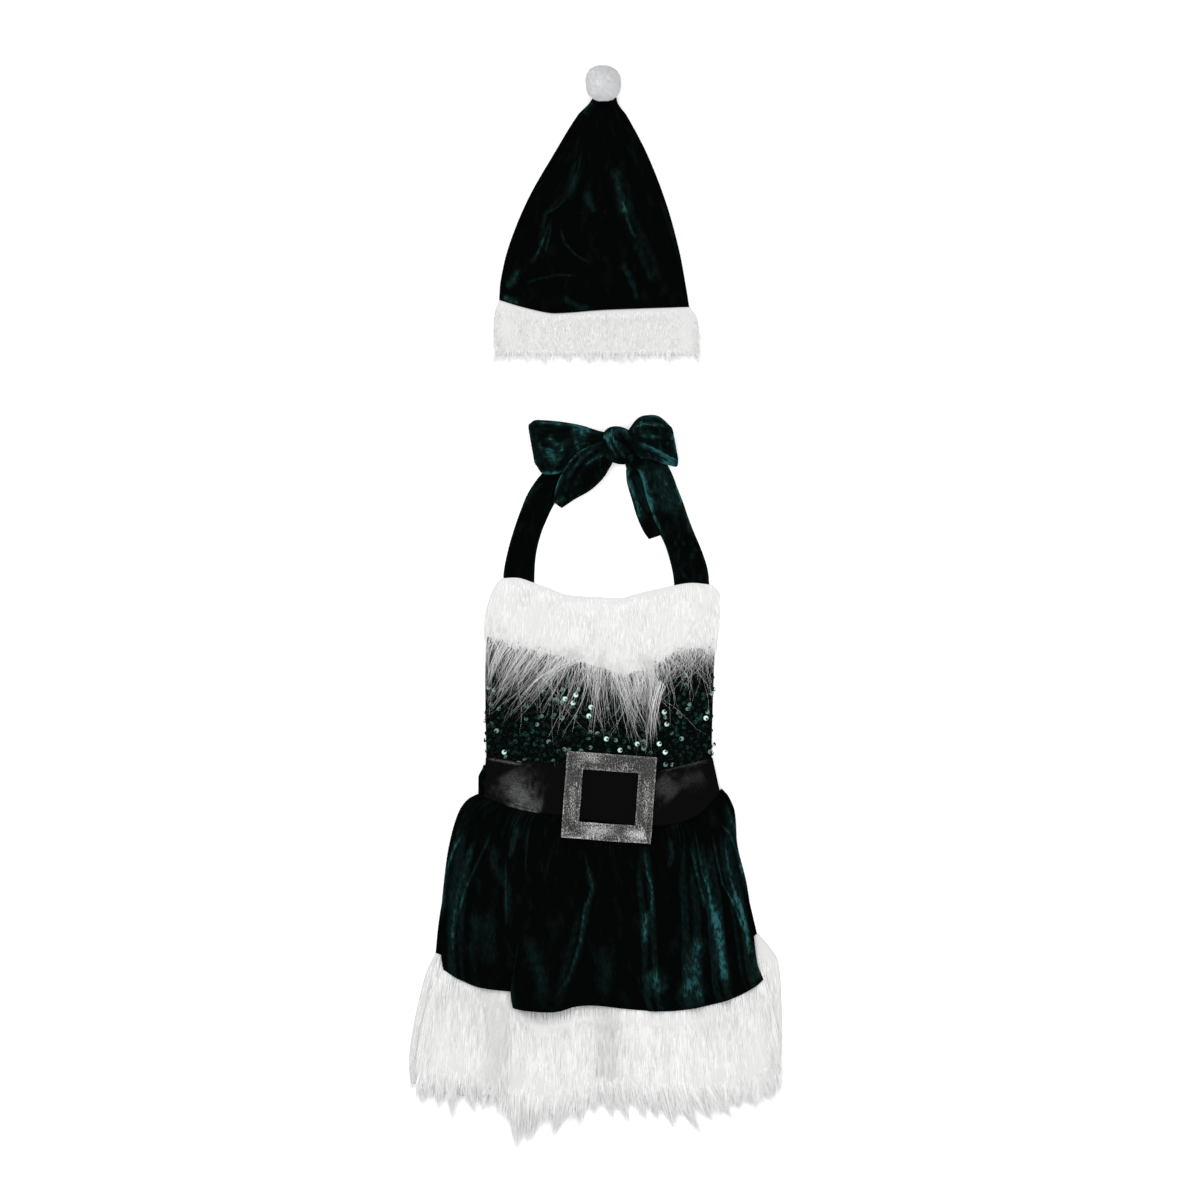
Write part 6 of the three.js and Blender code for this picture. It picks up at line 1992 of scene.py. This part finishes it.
class CostumeFur(bpy.types.PropertyGroup):
    """Colours and numbers of hairs of the fur."""

    white: colour("White", (0.86, 0.86, 0.855), "The fur")
    ground: colour("Ground", (0.63, 0.63, 0.625), "The dense ground of the fur")
    pompom: colour("Pompom", (0.71, 0.715, 0.735), "The pile of the pompom")
    grey: colour("Grey", (0.48, 0.485, 0.475), "Its greyest hairs")
    hem_front_hairs: number("Hem front", 6400, "Hairs on the front of the hem")
    hem_back_hairs: number("Hem back", 2600, "Hairs on the back of the hem")
    hem_wisps: number("Hem wisps", 5200, "Long hairs past the hem's lower edge")
    bib_hairs: number("Bib", 4200, "Short hairs on the bib")
    bib_fall: number("Bib fall", 740, "Long hairs over the sequins")
    band_hairs: number("Hat band", 4400, "Hairs on the front of the hat's band")
    pompom_hairs: number("Pompom", 6800, "Hairs of the pompom")


class CostumeBelt(bpy.types.PropertyGroup):
    """Colours of the belt and of its painted sheen."""

    black: colour("Black", (0.0008, 0.0008, 0.0009), "The leatherette")
    worn: colour("Worn", (0.09, 0.092, 0.092), "Where it is rubbed and shines")


class CostumeBuckle(bpy.types.PropertyGroup):
    """Sizes and colours of the buckle; its bright colour is also that of the painted highlights."""

    wide: length("Width", 0.108, "Across the buckle")
    tall: length("Height", 0.104, "Down the buckle")
    bar: length("Bar", 0.0205, "Width of each bar")
    thick: length("Thickness", 0.003, "Thickness of the buckle")
    dark: colour("Dark", (0.016, 0.016, 0.015), "Rubbed places")
    silver: colour("Silver", (0.027, 0.027, 0.0265), "The foil")
    bright: colour("Bright", (0.42, 0.42, 0.41), "Its brightest flecks")


class CostumeStage(bpy.types.PropertyGroup):
    """Strength of the lights."""

    ambient: strength("Ambient", 0.9, "Light from all round")
    key: strength("Key", 35, "Light from the upper left")
    fill: strength("Fill", 22, "Light from the right")


class COSTUME_OT_studio(bpy.types.Operator):
    """Makes the surface, lights and camera"""

    bl_idname = "costume.studio"
    bl_label = "Studio"

    def execute(self, context):
        studio()
        return {"FINISHED"}


class COSTUME_OT_waistband(bpy.types.Operator):
    """Makes the shirred waistband"""

    bl_idname = "costume.waistband"
    bl_label = "Back waistband"

    def execute(self, context):
        waistband()
        return {"FINISHED"}


class COSTUME_OT_skirt_back(bpy.types.Operator):
    """Makes the back of the skirt"""

    bl_idname = "costume.skirt_back"
    bl_label = "Skirt back"

    def execute(self, context):
        skirt_back()
        return {"FINISHED"}


class COSTUME_OT_skirt_front(bpy.types.Operator):
    """Makes the front of the skirt"""

    bl_idname = "costume.skirt_front"
    bl_label = "Skirt front"

    def execute(self, context):
        skirt_front()
        return {"FINISHED"}


class COSTUME_OT_hem_fur(bpy.types.Operator):
    """Makes the fur at the hem"""

    bl_idname = "costume.hem_fur"
    bl_label = "Hem fur"

    def execute(self, context):
        hem_fur()
        return {"FINISHED"}


class COSTUME_OT_bodice(bpy.types.Operator):
    """Makes the bodice and its sequins"""

    bl_idname = "costume.bodice"
    bl_label = "Bodice"

    def execute(self, context):
        sequins(bodice())
        return {"FINISHED"}


class COSTUME_OT_bib_fur(bpy.types.Operator):
    """Makes the fur on the bodice"""

    bl_idname = "costume.bib_fur"
    bl_label = "Bib fur"

    def execute(self, context):
        bib_fur()
        return {"FINISHED"}


class COSTUME_OT_belt(bpy.types.Operator):
    """Makes the belt"""

    bl_idname = "costume.belt"
    bl_label = "Belt"

    def execute(self, context):
        belt()
        return {"FINISHED"}


class COSTUME_OT_buckle(bpy.types.Operator):
    """Makes the buckle"""

    bl_idname = "costume.buckle"
    bl_label = "Buckle"

    def execute(self, context):
        buckle()
        return {"FINISHED"}


class COSTUME_OT_bow(bpy.types.Operator):
    """Makes the knot and the two loops of the bow"""

    bl_idname = "costume.bow"
    bl_label = "Bow"

    def execute(self, context):
        bow_knot()
        bow_loop("bow_loop_left")
        bow_loop("bow_loop_right")
        return {"FINISHED"}


class COSTUME_OT_ties(bpy.types.Operator):
    """Makes the straps and the bow's tails"""

    bl_idname = "costume.ties"
    bl_label = "Straps and tails"

    def execute(self, context):
        ties()
        return {"FINISHED"}


class COSTUME_OT_hat_band(bpy.types.Operator):
    """Makes the fur band of the hat"""

    bl_idname = "costume.hat_band"
    bl_label = "Hat band"

    def execute(self, context):
        hat_band()
        return {"FINISHED"}


class COSTUME_OT_hat(bpy.types.Operator):
    """Makes the velvet panels of the hat"""

    bl_idname = "costume.hat"
    bl_label = "Hat"

    def execute(self, context):
        hat()
        return {"FINISHED"}


class COSTUME_OT_pompom(bpy.types.Operator):
    """Makes the pompom"""

    bl_idname = "costume.pompom"
    bl_label = "Pompom"

    def execute(self, context):
        pompom()
        return {"FINISHED"}


# The order in which the pieces are made
PIECES = (
    COSTUME_OT_studio,
    COSTUME_OT_waistband,
    COSTUME_OT_skirt_back,
    COSTUME_OT_skirt_front,
    COSTUME_OT_hem_fur,
    COSTUME_OT_bodice,
    COSTUME_OT_bib_fur,
    COSTUME_OT_belt,
    COSTUME_OT_buckle,
    COSTUME_OT_bow,
    COSTUME_OT_ties,
    COSTUME_OT_hat_band,
    COSTUME_OT_hat,
    COSTUME_OT_pompom,
)
GROUPS = {
    "costume_velvet": CostumeVelvet,
    "costume_sequins": CostumeSequins,
    "costume_fur": CostumeFur,
    "costume_belt": CostumeBelt,
    "costume_buckle": CostumeBuckle,
    "costume_stage": CostumeStage,
}


class COSTUME_PT_pieces(bpy.types.Panel):
    """The costume's pieces, and the sizes and colours that they use."""

    bl_label = "Costume"
    bl_space_type = "VIEW_3D"
    bl_region_type = "UI"
    bl_category = "Costume"

    def draw(self, context):
        for group in GROUPS:
            looks = getattr(context.scene, group)
            box = self.layout.box()
            for key in looks.bl_rna.properties.keys():
                if key not in ("rna_type", "name"):
                    box.prop(looks, key)
        for piece in PIECES:
            self.layout.operator(piece.bl_idname)


def register():
    for group in GROUPS.values():
        bpy.utils.register_class(group)
    for name, group in GROUPS.items():
        setattr(bpy.types.Scene, name, bpy.props.PointerProperty(type=group))
    for piece in PIECES:
        bpy.utils.register_class(piece)
    bpy.utils.register_class(COSTUME_PT_pieces)


def unregister():
    bpy.utils.unregister_class(COSTUME_PT_pieces)
    for piece in reversed(PIECES):
        bpy.utils.unregister_class(piece)
    for name in GROUPS:
        delattr(bpy.types.Scene, name)
    for group in reversed(GROUPS.values()):
        bpy.utils.unregister_class(group)


def main():
    """Makes the whole scene."""
    register()
    for piece in PIECES:
        group, name = piece.bl_idname.split(".")
        getattr(getattr(bpy.ops, group), name)()


if __name__ == "__main__":
    main()
